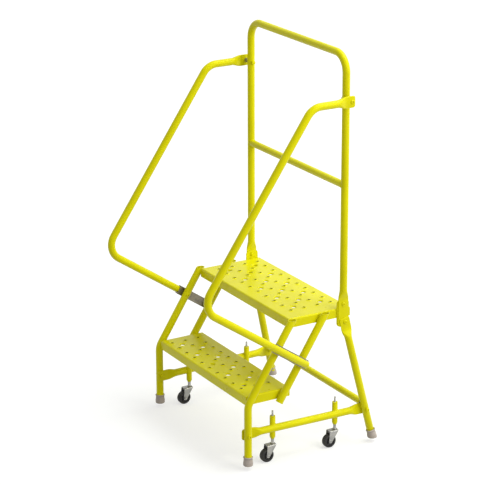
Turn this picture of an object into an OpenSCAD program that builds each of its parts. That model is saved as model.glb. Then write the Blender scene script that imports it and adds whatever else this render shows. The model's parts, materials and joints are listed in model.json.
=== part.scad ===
// Mobile ladder stand: two perforated steps on a bent tube frame, a guard frame
// behind the upper step, a handrail on each side and four spring-loaded casters.
// Distances are in millimetres. While a file is being drawn, y = 0 is the centreline
// of the front legs and z = 0 is the floor under the wheels. Right-hand pieces are
// modelled and left-hand pieces are their mirror images.

/* [Steps] */
// Rise of each step with the rubber feet on the floor
step_rise = 254; // [235:1:275]
// Width of both steps over their side flanges
step_w = 622; // [560:1:760]
// Depth of the lower step from front to back
lower_step_d = 178; // [160:1:190]
// Depth of the upper step from front to back
upper_step_d = 254; // [225:1:290]
// Run from the lower step's front edge to the upper step's front edge
step_run = 173; // [165:1:185]
// Height of the flanges that hang from every edge of a step
flange_h = 33; // [28:1:38]
// Thickness of the step sheet
sheet_t = 2.6; // [2:0.1:3.2]
// Outer radius of the bends along a step's top edges
sheet_bend_r = 6; // [4:0.5:8]

/* [Tread holes] */
// Pitch of the raised buttons from side to side
button_pitch_x = 56; // [50:1:58]
// Pitch of the raised buttons from front to back
button_pitch_y = 55; // [46:1:56]
// Number of button columns across a step
button_columns = 10; // [6:1:10]
// Number of button rows on the lower step
lower_rows = 3; // [2:1:3]
// Number of button rows on the upper step
upper_rows = 4; // [2:1:4]
// Distance from the lower step's back edge to its first row of buttons
lower_row_inset = 45; // [35:1:48]
// Distance from the upper step's back edge to its first row of buttons
upper_row_inset = 36; // [35:1:48]
// Distance of the middle of the button pattern left of the middle of a step
button_shift = 12; // [0:1:14]
// Diameter of the hole in a raised button
button_hole_d = 8.5; // [5:0.5:9]
// Height of a raised button above the tread
button_h = 2; // [1:0.5:3]
// Diameter of a pressed-down drain hole
drain_d = 18; // [16:1:26]
// Depth of the pressed-down rim round a drain hole
drain_h = 5.5; // [3:0.5:7]

/* [Tubes] */
// Outer diameter of the legs, rails, guard frame and handrails
main_d = 27; // [24:0.5:30]
// Wall of the legs, rails, guard frame and handrails
main_wall = 1.7; // [1.4:0.1:2.2]
// Outer diameter of the base tubes
base_d = 27; // [20:0.5:30]
// Wall of the base tubes
base_wall = 1.7; // [1.2:0.1:2]
// Outer diameter of the cross brace and the mid rail
brace_d = 26; // [18:0.5:26]
// Wall of the cross brace and the mid rail
brace_wall = 1.6; // [1.2:0.1:2]
// Centreline radius of every bend
bend_r = 63.5; // [55:0.5:75]
// Length over which a flattened end tapers back to a round tube
taper_l = 40; // [35:1:50]

/* [Frame] */
// Lean of the sloped rails back from upright, in degrees
rail_lean = 32.5; // [30:0.5:34]
// Distance of the front rail behind the upper step's front edge, at tread level
rail_inset = 6.5; // [4:0.5:12]
// Distance between the front and rear sloped rails, measured level
rail_gap = 136; // [120:1:145]
// Drop of the rear sloped rail's open end below the lower step's flange
rail_drop = 10; // [6:1:20]
// Length of the base between the front and rear feet
base_l = 508; // [490:1:530]
// Distance of each rear foot outside the step's side flange
rear_splay = 36; // [24:1:44]
// Height of the base tubes above the soles of the feet
base_h = 113; // [105:1:118]
// Height of the cross brace above the base tubes
brace_rise = 22; // [22:1:34]
// Distance of the guard posts in front of the upper step's back edge
post_inset = 32; // [28:1:40]
// Height of the guard frame's top bar above the soles of the feet
guard_h = 1420; // [1300:5:1500]
// Height of the mid rail above the soles of the feet
mid_rail_h = 960; // [880:5:1050]

/* [Handrails] */
// Drop of the handrail's level top below the guard frame's top bar
handrail_drop = 154; // [130:2:220]
// Length of the level top, from the post to the upper bend's corner
handrail_top_l = 159; // [150:1:190]
// Height of the grip's lower corner above the soles of the feet
handrail_low_h = 627.5; // [610:0.5:640]
// Slope of the grip up from level, in degrees
handrail_slope = 55.8; // [54:0.1:58]
// Thickness of the channel that seats the handrail on the sloped rails
saddle_t = 2.5; // [2:0.1:3.5]
// Length of that channel in front of the front rail's centreline
saddle_tail = 28; // [24:1:36]
// Length of the channel and the handrail past the rear rail's centreline
shank_tail = 9; // [8:1:30]

/* [Casters] */
// Height of the soles above the floor while the casters carry the ladder
foot_lift = 15; // [10:0.5:15]
// Travel of a caster before its spring housing stops it
caster_travel = 16.5; // [15:0.5:17]
// Diameter of a caster wheel
wheel_d = 50; // [46:1:52]
// Width of a caster wheel's tread
wheel_w = 20; // [16:1:22]
// Distance of the wheel's axle in front of the swivel axis
caster_trail = 24; // [20:1:26]
// Distance of the casters from the bolts at the ends of a base tube
caster_inset = 113; // [100:1:130]
// Outer diameter of the spring housing
housing_d = 20.5; // [18:0.5:22]
// Height of the spring housing
housing_h = 87; // [80:1:92]
// Diameter of the caster's stem
stem_d = 11; // [9:0.5:11.5]
// Thickness of the fork's steel
fork_t = 2.2; // [1.6:0.1:2.6]

/* [Feet] */
// Outer diameter of a rubber foot
foot_d = 35; // [32:0.5:38]
// Height of a rubber foot
foot_h = 34; // [28:1:42]
// Thickness of the rubber under the tube's end
foot_sole = 7; // [5:0.5:9]

/* [Fasteners] */
// Diameter of the frame bolts
bolt_d = 8; // [6:0.5:9]
// Diameter of the wheel axles
axle_d = 6; // [5:0.5:7]

/* [Hidden] */

$fn = 64;
taper_fn = 48;

paint = "gold";
zinc = "lightgray";
black = "#1b1b1b";
rubber = "#9a8f93";

// Clearances
run_gap = 0.05;      // radial gap of a shaft that turns or slides in its bore
free_gap = 0.3;      // gap between pieces that move past each other
bolt_gap = 0.2;      // radial gap of a bolt in its hole
seat_gap = 0.02;     // allowance where a flat pad lies against a round tube
weld_gap = 0.05;     // root gap of the butt weld after a bend
weld_l = 2;          // length of that weld
weld_skin = 0.3;     // depth of the weld under the tube's inner and outer skin
taper_lap = 0.3;     // length by which a taper runs on into the pieces it joins
taper_proud = 0.05;  // step between a taper and the pieces it joins

// Steps
lower_z = foot_lift + step_rise;
upper_z = foot_lift + 2 * step_rise;
side_x = step_w / 2;
upper_back_y = step_run + upper_step_d;
sheet_inner_r = max(sheet_bend_r - sheet_t, 1);
button_base_r = button_hole_d / 2 + 5;
button_top_r = button_hole_d / 2 + 2;

// Flattened tube ends
main_pad_w = 42;
main_pad_t = 2 * main_wall;
base_pad_w = main_pad_w * base_d / main_d;
base_pad_t = 2 * base_wall;
pad_tail = 16;

// Sloped rails, as lines in the side view
rail_x = side_x + main_d / 2;
rail_top_y = step_run + rail_inset;
bend_z = upper_z - rail_top_y / tan(rail_lean);
rail_dir = [sin(rail_lean), cos(rail_lean)];
rear_rail_low_z = lower_z - flange_h - rail_drop;
function front_rail_y(z) = (z - bend_z) * tan(rail_lean);
function rear_rail_y(z) = front_rail_y(z) + rail_gap;

// Guard frame and the joint where post, rear leg and upper step meet
plate_t = 3;
plate_w = 50;
plate_corner = 14;
post_x = side_x + plate_t + main_pad_t / 2;
post_y = upper_back_y - post_inset;
joint_bolt_drop = 18;
joint_low_z = upper_z - flange_h - joint_bolt_drop;
joint_high_z = upper_z + joint_bolt_drop - 1;
joint_low_back = 6;
post_flat_top = joint_high_z + 14;
guard_z = foot_lift + guard_h;

// Rear legs run from the outermost pad of that joint down to the rear feet
leg_top = [post_x + main_pad_t, post_y + joint_low_back, joint_low_z];
leg_foot = [side_x + rear_splay, base_l, foot_lift];
leg_flat = pad_tail + 8;
function rear_leg_at(z) = leg_foot + (leg_top - leg_foot) * (z - foot_lift) / (joint_low_z - foot_lift);

// Base tubes run along the inboard sides of the front and rear legs
base_z = foot_lift + base_h;
base_seat = main_d / 2 + base_pad_t / 2 + seat_gap;
base_start = [rail_x - base_seat, 0];
base_leg = rear_leg_at(base_z);
base_end = [base_leg[0] - base_seat, base_leg[1]];
base_run = norm(base_end - base_start);
base_angle = atan2(base_end[1] - base_start[1], base_end[0] - base_start[0]);
leg_up = (leg_top - leg_foot) / norm(leg_top - leg_foot);
base_twist = asin(leg_up * [sin(base_angle), -cos(base_angle), 0]);
base_flat = 22;

// Cross brace
brace_z = base_z + brace_rise;
brace_y = rear_leg_at(brace_z)[1];

// Handrails, as corners in the side view
hand_x = rail_x + main_d + saddle_t;
hand_z = guard_z - handrail_drop;
hand_top = [post_y, hand_z];
hand_upper = hand_top - [handrail_top_l, 0];
handrail_grip_l = (hand_z - foot_lift - handrail_low_h) / sin(handrail_slope);
hand_lower = hand_upper - handrail_grip_l * [cos(handrail_slope), sin(handrail_slope)];
shank_dir = [sin(handrail_slope), -cos(handrail_slope)];
hand_flat = 20;

// Where the handrail's lower shank crosses a sloped rail that stands `gap` behind the front one
function cross(a, b) = a[0] * b[1] - a[1] * b[0];
function shank_reach(gap) = cross([gap, bend_z] - hand_lower, rail_dir) / cross(shank_dir, rail_dir);
front_reach = shank_reach(0);
rear_reach = shank_reach(rail_gap);
shank_l = rear_reach + shank_tail;
saddle_l = saddle_tail + rear_reach - front_reach + shank_tail;
front_seat = hand_lower + front_reach * shank_dir;
rear_seat = hand_lower + rear_reach * shank_dir;
saddle_h = main_d + 2 * free_gap + 2 * saddle_t;

// Casters
caster_offset = 11;
function base_point(s, n) = base_start + s * [cos(base_angle), sin(base_angle)]
                                       + n * [-sin(base_angle), cos(base_angle)];
caster_front = base_point(caster_inset, caster_offset);
caster_rear = base_point(base_run - caster_inset, caster_offset);
wheel_r = wheel_d / 2;
fork_z = wheel_d + 15;
fork_gap = wheel_w / 2 + 1.3;
fork_outer = fork_gap + fork_t;
fork_end_r = 7;
race_d = 18;
race_h = 1.8;
kingpin_d = 8;
housing_z = fork_z + free_gap + race_h + caster_travel + 0.4;
housing_top = housing_z + housing_h;
housing_wall = 1.5;
housing_neck = 8;
housing_cap = 3;
housing_bore_d = housing_d - 2 * housing_wall;
pin_d = 7;
pin_top = housing_top + 20;
collar_h = 5;
collar_z = housing_z + housing_neck + free_gap;
spring_wall = 2;
hub_r = 8;
rim_r = 16;

// The model's origin is at the middle of its footprint
foremost_y = hand_lower[0] + bend_r * (sin(handrail_slope) + cos(handrail_slope) - 1)
             - main_d / 2;
rearmost_y = base_l + foot_d / 2;
centre_y = (foremost_y + rearmost_y) / 2;

module placed() translate([0, -centre_y, 0]) children();
module left() mirror([1, 0, 0]) children();
module both_sides() { children(); left() children(); }

// Puts children drawn in the x-y plane into the side view, standing in the plane x = side
module side_view(side) translate([side, 0, 0]) rotate([90, 0, 90]) children();

// Points the children's z axis from point a towards point b
module aim(a, b) {
    v = b - a;
    translate(a)
        rotate([0, acos(v[2] / norm(v)), atan2(v[1], v[0])])
            children();
}

module ring(d, wall) {
    difference() {
        circle(d = d);
        circle(d = d - 2 * wall);
    }
}

// Length that a bend takes off each straight it joins
function setback(bend) = bend_r * tan(bend / 2);

// Hollow tube in the x-y plane that leaves the origin along x. After each straight but the
// last it bends towards the left by the next angle.
module bent_tube(straights, bends, d, wall, i = 0) {
    start = i == 0 ? 0 : weld_gap;
    translate([start, 0, 0]) rotate([0, 90, 0])
        linear_extrude(straights[i] - start) ring(d, wall);
    if (i > 0)
        translate([-weld_l / 2, 0, 0]) rotate([0, 90, 0])
            linear_extrude(weld_l) ring(d - 2 * weld_skin, wall - 2 * weld_skin);
    if (i < len(bends))
        translate([straights[i], bend_r, 0]) {
            rotate(-90) rotate_extrude(angle = bends[i]) translate([bend_r, 0]) ring(d, wall);
            rotate(bends[i]) translate([0, -bend_r, 0])
                bent_tube(straights, bends, d, wall, i + 1);
        }
}

// Flattened tube end lying in the x-y plane: the bolt hole is at the origin and the
// round tube starts at x = flat + taper_l
module flattened_end(d, pad_w, pad_t, flat, tail = pad_tail, corner = 8) {
    linear_extrude(pad_t, center = true) {
        translate([-tail + corner, -pad_w / 2]) square([flat + tail - corner, pad_w]);
        translate([-tail, -pad_w / 2 + corner]) square([corner, pad_w - 2 * corner]);
        for (s = [-1, 1])
            translate([-tail + corner, s * (pad_w / 2 - corner)]) circle(r = corner);
    }
    hull() {
        translate([flat - taper_lap, 0, 0]) taper_foot(pad_w, pad_t);
        translate([flat + taper_l, 0, 0]) rotate([0, 90, 0]) taper_mouth(d);
    }
}

// The two ends that a taper is drawn between: a thin bar inside the pad and a disc round the tube
module taper_foot(pad_w, pad_t) {
    translate([0, taper_proud - pad_w / 2, taper_proud - pad_t / 2])
        cube([taper_lap / 2, pad_w - 2 * taper_proud, pad_t - 2 * taper_proud]);
}
module taper_mouth(d) {
    cylinder(d = d / cos(180 / taper_fn) + 2 * taper_proud, h = taper_lap, $fn = taper_fn);
}

// Hole through a tube or plate, along x
module hole_x(x, y, z, d, l = 2 * main_d) {
    translate([x, y, z]) rotate([0, 90, 0]) cylinder(d = d, h = l, center = true);
}

// Domed bolt with a hex socket: the head's flat underside is at z = 0, the nut at z = grip
module bolt(grip, d = bolt_d, tail = 0.9 * bolt_d, nut = true) {
    head_r = 0.95 * d;
    head_h = 0.45 * d;
    dome_r = (head_r * head_r + head_h * head_h) / (2 * head_h);
    difference() {
        union() {
            cylinder(d = d, h = grip + tail);
            intersection() {
                translate([0, 0, dome_r - head_h]) sphere(r = dome_r);
                translate([0, 0, -head_h]) cylinder(r = head_r, h = head_h);
            }
        }
        translate([0, 0, -head_h - 1]) cylinder(d = 0.7 * d, h = 0.3 * d + 1, $fn = 6);
    }
    if (nut)
        translate([0, 0, grip]) cylinder(d = 1.9 * d, h = 0.8 * d, $fn = 6);
}

// ---- Steps ----

// Inverted channel outline, w wide, from z = -h to 0, with rounded upper corners
module channel_outline(w, h, r) {
    translate([-w / 2, -h]) square([w, h - r]);
    translate([-w / 2 + r, -h]) square([w - 2 * r, h]);
    for (s = [-1, 1])
        translate([s * (w / 2 - r), -r]) circle(r = r);
}

// Block w by l by h under z = 0 whose four upper edges are rounded
module rounded_top(w, l, h, r) {
    intersection() {
        rotate([90, 0, 0]) linear_extrude(l, center = true) channel_outline(w, h, r);
        rotate([90, 0, 90]) linear_extrude(w, center = true) channel_outline(l, h, r);
    }
}

// Step with its tread's top at z = 0 and its front edge at y = 0. Raised buttons stand on
// a grid, and every other cell of the grid holds a pressed-down drain hole.
module step(depth, rows, row_inset, first_cell) {
    x0 = -(button_columns - 1) * button_pitch_x / 2 - button_shift;
    y0 = depth - row_inset;
    difference() {
        union() {
            translate([0, depth / 2, 0]) difference() {
                rounded_top(step_w, depth, flange_h, sheet_bend_r);
                translate([0, 0, -sheet_t])
                    rounded_top(step_w - 2 * sheet_t, depth - 2 * sheet_t, flange_h, sheet_inner_r);
            }
            for (i = [0 : button_columns - 1], j = [0 : rows - 1])
                translate([x0 + i * button_pitch_x, y0 - j * button_pitch_y, -sheet_t / 2])
                    cylinder(r1 = button_base_r, r2 = button_top_r, h = sheet_t / 2 + button_h);
            for (j = [0 : rows - 2], i = [(first_cell + j) % 2 : 2 : button_columns - 2])
                translate([x0 + (i + 0.5) * button_pitch_x, y0 - (j + 0.5) * button_pitch_y, -drain_h])
                    cylinder(r1 = drain_d / 2 + 1.5, r2 = drain_d / 2 + 5, h = drain_h - 0.2);
        }
        for (i = [0 : button_columns - 1], j = [0 : rows - 1])
            translate([x0 + i * button_pitch_x, y0 - j * button_pitch_y, -drain_h - 1])
                cylinder(d = button_hole_d, h = drain_h + button_h + 2);
        for (j = [0 : rows - 2], i = [(first_cell + j) % 2 : 2 : button_columns - 2])
            translate([x0 + (i + 0.5) * button_pitch_x, y0 - (j + 0.5) * button_pitch_y, 0]) {
                translate([0, 0, -drain_h - 1]) cylinder(d = drain_d, h = drain_h + 2);
                translate([0, 0, -2.5]) cylinder(r1 = drain_d / 2, r2 = drain_d / 2 + 3, h = 2.6);
            }
    }
}

module lower_step() color(paint) placed()
    translate([0, 0, lower_z]) step(lower_step_d, lower_rows, lower_row_inset, 1);

module upper_step() color(paint) placed()
    translate([0, step_run, upper_z]) step(upper_step_d, upper_rows, upper_row_inset, 0);

// ---- Sloped rails and front legs ----

module cut_above(z) {
    translate([rail_x - main_d, -main_d, z]) cube([2 * main_d, base_l + 2 * main_d, 4 * main_d]);
}

// Bolt holes through the sloped rails and the channel to the handrail's middle
module saddle_holes() {
    for (seat = [front_seat, rear_seat])
        translate([side_x - main_d, seat[0], seat[1]]) rotate([0, 90, 0])
            cylinder(d = bolt_d + 2 * bolt_gap, h = hand_x - side_x + main_d);
}

module front_leg() color(paint) placed() difference() {
    top_z = upper_z + main_d;
    slope_l = (top_z - bend_z) / cos(rail_lean) - setback(rail_lean);
    upright_l = bend_z - foot_lift - foot_sole - setback(rail_lean);
    side_view(rail_x) translate([front_rail_y(top_z), top_z]) rotate(-90 - rail_lean)
        bent_tube([slope_l, upright_l], [rail_lean], main_d, main_wall);
    cut_above(upper_z);
    saddle_holes();
    at_base_line() base_hole();
}

module rear_rail() color(paint) placed() difference() {
    top_z = upper_z + main_d;
    side_view(rail_x) translate([rear_rail_y(top_z), top_z]) rotate(-90 - rail_lean)
        bent_tube([(top_z - rear_rail_low_z) / cos(rail_lean)], [], main_d, main_wall);
    cut_above(upper_z);
    saddle_holes();
}

// ---- Base ----

// The base tube's own axes: x along the tube from its front bolt, y inboard, z up
module at_base_line() {
    translate([base_start[0], base_start[1], base_z]) rotate(base_angle) children();
}
module at_base_end() at_base_line() translate([base_run, 0, 0]) rotate([base_twist, 0, 0]) children();

module base_hole() {
    rotate([90, 0, 0]) cylinder(d = bolt_d + 2 * bolt_gap, h = 3 * main_d, center = true);
}

module base_tube() color(paint) placed() difference() {
    start = base_flat + taper_l;
    union() {
        at_base_line() {
            translate([start, 0, 0]) rotate([0, 90, 0])
                linear_extrude(base_run - 2 * start) ring(base_d, base_wall);
            rotate([90, 0, 0]) flattened_end(base_d, base_pad_w, base_pad_t, base_flat);
        }
        at_base_end() rotate([90, 0, 180]) flattened_end(base_d, base_pad_w, base_pad_t, base_flat);
    }
    at_base_line() base_hole();
    at_base_end() base_hole();
    for (c = [caster_front, caster_rear])
        translate([c[0], c[1], base_z]) cylinder(d = housing_d, h = 2 * base_d, center = true);
}

module rear_leg() color(paint) placed() difference() {
    start = leg_flat + taper_l;
    leg_l = norm(leg_foot - leg_top);
    side_lean = atan2(leg_foot[1] - leg_top[1], leg_top[2] - leg_foot[2]);
    union() {
        aim(leg_top, leg_foot) translate([0, 0, start])
            linear_extrude(leg_l - start - foot_sole) ring(main_d, main_wall);
        leg_pad(side_lean);
    }
    hole_x(leg_top[0], leg_top[1], leg_top[2], bolt_d + 2 * bolt_gap);
    at_base_end() base_hole();
}

// The leg's flattened head stands upright beside the step, and its taper turns out to the leg
module leg_pad(side_lean) {
    corner = 8;
    translate(leg_top) rotate([side_lean, 0, 0]) rotate([0, 90, 0])
        linear_extrude(main_pad_t, center = true) {
            translate([-pad_tail + corner, -main_pad_w / 2])
                square([leg_flat + pad_tail - corner, main_pad_w]);
            translate([-pad_tail, -main_pad_w / 2 + corner])
                square([corner, main_pad_w - 2 * corner]);
            for (s = [-1, 1])
                translate([-pad_tail + corner, s * (main_pad_w / 2 - corner)]) circle(r = corner);
        }
    hull() {
        translate(leg_top) rotate([side_lean, 0, 0]) rotate([0, 90, 0])
            translate([leg_flat - taper_lap, 0, 0]) taper_foot(main_pad_w, main_pad_t);
        aim(leg_top, leg_foot) translate([0, 0, leg_flat + taper_l]) taper_mouth(main_d);
    }
}

// Brace cut to butt against the base tubes' flattened rear ends
module cross_brace() color(paint) placed() difference() {
    reach = rear_leg_at(brace_z)[0];
    translate([-reach, brace_y, brace_z]) rotate([0, 90, 0])
        linear_extrude(2 * reach) ring(brace_d, brace_wall);
    both_sides() at_base_end() translate([-main_pad_w, base_pad_t / 2 - main_pad_w, -main_pad_w])
        cube([2 * main_pad_w, main_pad_w, 3 * main_pad_w]);
}

// Rubber boot on the end of a tube that runs from a down to b, with its sole cut level
module boot(a, b) {
    difference() {
        aim(b, a) translate([0, 0, -main_d / 2]) rotate(45)
            cylinder(d = foot_d, h = foot_h + main_d / 2);
        translate([b[0] - foot_d, b[1] - foot_d, foot_lift - foot_d])
            cube([2 * foot_d, 2 * foot_d, foot_d]);
        aim(b, a) translate([0, 0, foot_sole]) cylinder(d = main_d, h = foot_h);
    }
}

module foot_front() color(rubber) placed() boot([rail_x, 0, foot_lift + foot_h], [rail_x, 0, foot_lift]);
module foot_rear() color(rubber) placed() boot(leg_top, leg_foot);

// ---- Guard frame ----

module guard_frame() color(paint) placed() difference() {
    low = post_flat_top + taper_l;
    flat = post_flat_top - joint_low_z;
    post_l = guard_z - low - bend_r;
    union() {
        translate([post_x, post_y, low]) rotate([90, 0, 0]) rotate(90)
            bent_tube([post_l, 2 * (post_x - bend_r), post_l], [90, 90], main_d, main_wall);
        both_sides() translate([post_x, post_y, joint_low_z]) rotate([0, -90, 0])
            flattened_end(main_d, main_pad_w, main_pad_t, flat);
    }
    both_sides() {
        joint_holes();
        hole_x(post_x, post_y, hand_z, bolt_d + 2 * bolt_gap);
    }
}

module joint_holes() {
    hole_x(post_x, post_y + joint_low_back, joint_low_z, bolt_d + 2 * bolt_gap);
    hole_x(post_x, post_y, joint_high_z, bolt_d + 2 * bolt_gap);
}

// Rail coped to fit between the posts
module mid_rail() color(paint) placed() difference() {
    z = foot_lift + mid_rail_h;
    translate([-post_x, post_y, z]) rotate([0, 90, 0])
        linear_extrude(2 * post_x) ring(brace_d, brace_wall);
    for (s = [-1, 1])
        translate([s * post_x, post_y, z]) cylinder(d = main_d, h = 2 * main_d, center = true);
}

// Plates welded to the upper step's side flanges, which the posts and rear legs bolt to
module post_plates() color(paint) placed() both_sides() difference() {
    bottom = joint_low_z - pad_tail;
    side_view(side_x + plate_t / 2) linear_extrude(plate_t, center = true)
        translate([post_y, (bottom + post_flat_top) / 2])
            rounded_plate(plate_w, post_flat_top - bottom, plate_corner);
    joint_holes();
}

// Rectangle round the origin with rounded corners
module rounded_plate(w, h, r) {
    square([w, h - 2 * r], center = true);
    square([w - 2 * r, h], center = true);
    for (i = [-1, 1], j = [-1, 1])
        translate([i * (w / 2 - r), j * (h / 2 - r)]) circle(r = r);
}

// ---- Handrails ----

module handrail() color(paint) placed() difference() {
    start = hand_flat + taper_l;
    top_l = handrail_top_l - start - setback(handrail_slope);
    grip_l = handrail_grip_l - setback(handrail_slope) - setback(90);
    side_view(hand_x) translate(hand_top) rotate(180) {
        translate([start, 0, 0])
            bent_tube([top_l, grip_l, shank_l - setback(90)], [handrail_slope, 90], main_d, main_wall);
        flattened_end(main_d, main_pad_w, main_pad_t, hand_flat, tail = 12);
    }
    hole_x(hand_x, hand_top[0], hand_top[1], bolt_d + 2 * bolt_gap);
    saddle_holes();
}

// Channel between the handrail's shank and the sloped rails
module handrail_saddle() color(zinc) placed() difference() {
    inner_h = saddle_h - 2 * saddle_t;
    depth = saddle_t + main_d / 2;
    translate([0, front_seat[0], front_seat[1]])
        rotate([handrail_slope - 90, 0, 0])
            translate([hand_x - main_d / 2 - saddle_t, -saddle_tail, -saddle_h / 2])
                difference() {
                    cube([depth, saddle_l, saddle_h]);
                    translate([saddle_t, -1, saddle_t]) cube([depth, saddle_l + 2, inner_h]);
                }
    saddle_holes();
}

module handrail_spacers() color(zinc) placed() both_sides() {
    inner = post_x + main_d / 2;
    outer = hand_x - main_pad_t / 2;
    translate([inner, post_y, hand_z]) rotate([0, 90, 0])
        linear_extrude(outer - inner) ring(2 * bolt_d, (2 * bolt_d - bolt_d - 2 * bolt_gap) / 2);
}

// ---- Fasteners ----

module bolt_inboard(x, y, z, grip) {
    translate([x, y, z]) rotate([0, -90, 0]) bolt(grip);
}

module handrail_bolts() color(zinc) placed() both_sides() {
    head_x = hand_x + main_pad_t / 2;
    bolt_inboard(head_x, post_y, hand_z, head_x - post_x + main_d / 2);
}

// Bolts from inboard that end in threads in the handrail's inner wall
module saddle_bolts() color(paint) placed() both_sides() {
    wall_x = hand_x - main_d / 2;
    for (seat = [front_seat, rear_seat])
        translate([side_x, seat[0], seat[1]]) rotate([0, 90, 0])
            bolt(wall_x - side_x, tail = main_wall + 4, nut = false);
}

module post_bolts() color(paint) placed() both_sides() {
    outer = post_x + main_pad_t / 2;
    bolt_inboard(outer + main_pad_t, post_y + joint_low_back, joint_low_z,
                 outer + main_pad_t - side_x);
    bolt_inboard(outer, post_y, joint_high_z, outer - side_x);
}

module base_bolts() color(paint) placed() both_sides() {
    grip = main_d + base_pad_t + seat_gap;
    at_base_line() translate([0, base_pad_t / 2 - grip, 0]) rotate([-90, 0, 0]) bolt(grip);
    at_base_end() translate([0, base_pad_t / 2 - grip, 0]) rotate([-90, 0, 0]) bolt(grip);
}

// ---- Casters, drawn round the swivel axis ----

module at_caster(c) placed() translate([c[0], c[1], 0]) children();

// Spring housing with a necked lower end and a capped top
module caster_housing(c) color(paint) at_caster(c) difference() {
    union() {
        translate([0, 0, housing_z]) cylinder(d1 = stem_d + 3, d2 = housing_d, h = 6);
        translate([0, 0, housing_z + 6]) cylinder(d = housing_d, h = housing_h - 6);
    }
    translate([0, 0, housing_z + housing_neck])
        cylinder(d = housing_bore_d, h = housing_h - housing_neck - housing_cap);
    translate([0, 0, housing_z - 1]) cylinder(d = stem_d + 2 * run_gap, h = housing_neck + 2);
    translate([0, 0, housing_top - housing_cap - 1]) cylinder(d = pin_d + 2 * run_gap, h = housing_cap + 2);
}

// Space that the coil spring fills between the stem's collar and the housing's cap
module caster_spring(c) color(zinc) at_caster(c) {
    bottom = collar_z + collar_h + free_gap;
    top = housing_top - housing_cap;
    translate([0, 0, bottom]) linear_extrude(top - bottom)
        ring(housing_bore_d - 2 * free_gap, spring_wall);
}

// Stem: guide pin, collar under the spring, sliding shank, race and kingpin
module caster_stem(c) color(zinc) at_caster(c) {
    race_z = fork_z + free_gap;
    collar_d = housing_bore_d - 2 * free_gap;
    translate([0, 0, collar_z]) cylinder(d = pin_d, h = pin_top - collar_z);
    translate([0, 0, collar_z]) cylinder(d = collar_d, h = collar_h);
    translate([0, 0, race_z]) cylinder(d = stem_d, h = collar_z - race_z + 1);
    translate([0, 0, race_z]) cylinder(d = race_d, h = race_h);
    translate([0, 0, fork_z - fork_t - free_gap - 2]) cylinder(d = kingpin_d, h = fork_t + 2 * free_gap + 3);
    translate([0, 0, fork_z - fork_t - free_gap - 2]) cylinder(d = race_d - 4, h = 2);
}

// Point where the line from p touches the circle round c, on the side given by s
function touch(p, c, r, s) =
    let (a = atan2(p[1] - c[1], p[0] - c[0]) + s * acos(r / norm(p - c))) c + r * [cos(a), sin(a)];

module fork_side() {
    hub = [-caster_trail, wheel_r];
    front = [-caster_trail - 3, fork_z - fork_t];
    back = [race_d / 2, fork_z - fork_t];
    polygon([front, touch(front, hub, fork_end_r, 1), hub, touch(back, hub, fork_end_r, -1), back]);
    translate(hub) circle(r = fork_end_r);
}

module caster_fork(c) color(zinc) at_caster(c) difference() {
    union() {
        for (s = [-1, 1])
            side_view(s * (fork_gap + fork_t / 2)) linear_extrude(fork_t, center = true) fork_side();
        translate([-fork_outer, -caster_trail - 3, fork_z - fork_t])
            cube([2 * fork_outer, caster_trail + 3 + race_d / 2, fork_t]);
    }
    translate([0, 0, fork_z - 2 * fork_t]) cylinder(d = kingpin_d + 2 * run_gap, h = 3 * fork_t);
    hole_x(0, -caster_trail, wheel_r, axle_d + 2 * run_gap);
}

module caster_axle(c) color(zinc) at_caster(c)
    translate([fork_outer, -caster_trail, wheel_r]) rotate([0, -90, 0]) bolt(2 * fork_outer, axle_d);

module at_wheel(c) at_caster(c)
    translate([0, -caster_trail, wheel_r]) rotate([0, 90, 0]) children();

module caster_hub(c) color(black) at_wheel(c) rotate_extrude() {
    bore_r = axle_d / 2 + run_gap;
    boss_w = 2 * (fork_gap - free_gap);
    translate([bore_r, -boss_w / 2]) square([hub_r - bore_r, boss_w]);
    translate([hub_r - 1, -wheel_w / 5]) square([rim_r - hub_r - 1, 2 * wheel_w / 5]);
    translate([rim_r - 2, -wheel_w / 2 + 1]) square([2, wheel_w - 2]);
}

module caster_tyre(c) color(black) at_wheel(c) rotate_extrude() {
    edge = 3;
    translate([rim_r, -wheel_w / 2]) square([wheel_r - rim_r - edge, wheel_w]);
    translate([rim_r, -wheel_w / 2 + edge]) square([wheel_r - rim_r, wheel_w - 2 * edge]);
    for (s = [-1, 1])
        translate([wheel_r - edge, s * (wheel_w / 2 - edge)]) circle(r = edge);
}

lower_step();
upper_step();
left() front_leg();  // front_leg_left
front_leg();  // front_leg_right
left() rear_rail();  // rear_rail_left
rear_rail();  // rear_rail_right
left() base_tube();  // base_tube_left
base_tube();  // base_tube_right
left() rear_leg();  // rear_leg_left
rear_leg();  // rear_leg_right
cross_brace();
guard_frame();
mid_rail();
post_plates();
left() handrail();  // handrail_left
handrail();  // handrail_right
left() handrail_saddle();  // handrail_saddle_left
handrail_saddle();  // handrail_saddle_right
handrail_spacers();
handrail_bolts();
saddle_bolts();
post_bolts();
base_bolts();
left() foot_front();  // foot_front_left
foot_front();  // foot_front_right
left() foot_rear();  // foot_rear_left
foot_rear();  // foot_rear_right
left() caster_housing(caster_front);  // caster_housing_front_left
caster_housing(caster_front);  // caster_housing_front_right
left() caster_housing(caster_rear);  // caster_housing_rear_left
caster_housing(caster_rear);  // caster_housing_rear_right
left() caster_spring(caster_front);  // caster_spring_front_left
caster_spring(caster_front);  // caster_spring_front_right
left() caster_spring(caster_rear);  // caster_spring_rear_left
caster_spring(caster_rear);  // caster_spring_rear_right
left() caster_stem(caster_front);  // caster_stem_front_left
caster_stem(caster_front);  // caster_stem_front_right
left() caster_stem(caster_rear);  // caster_stem_rear_left
caster_stem(caster_rear);  // caster_stem_rear_right
left() caster_fork(caster_front);  // caster_fork_front_left
caster_fork(caster_front);  // caster_fork_front_right
left() caster_fork(caster_rear);  // caster_fork_rear_left
caster_fork(caster_rear);  // caster_fork_rear_right
left() caster_axle(caster_front);  // caster_axle_front_left
caster_axle(caster_front);  // caster_axle_front_right
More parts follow.
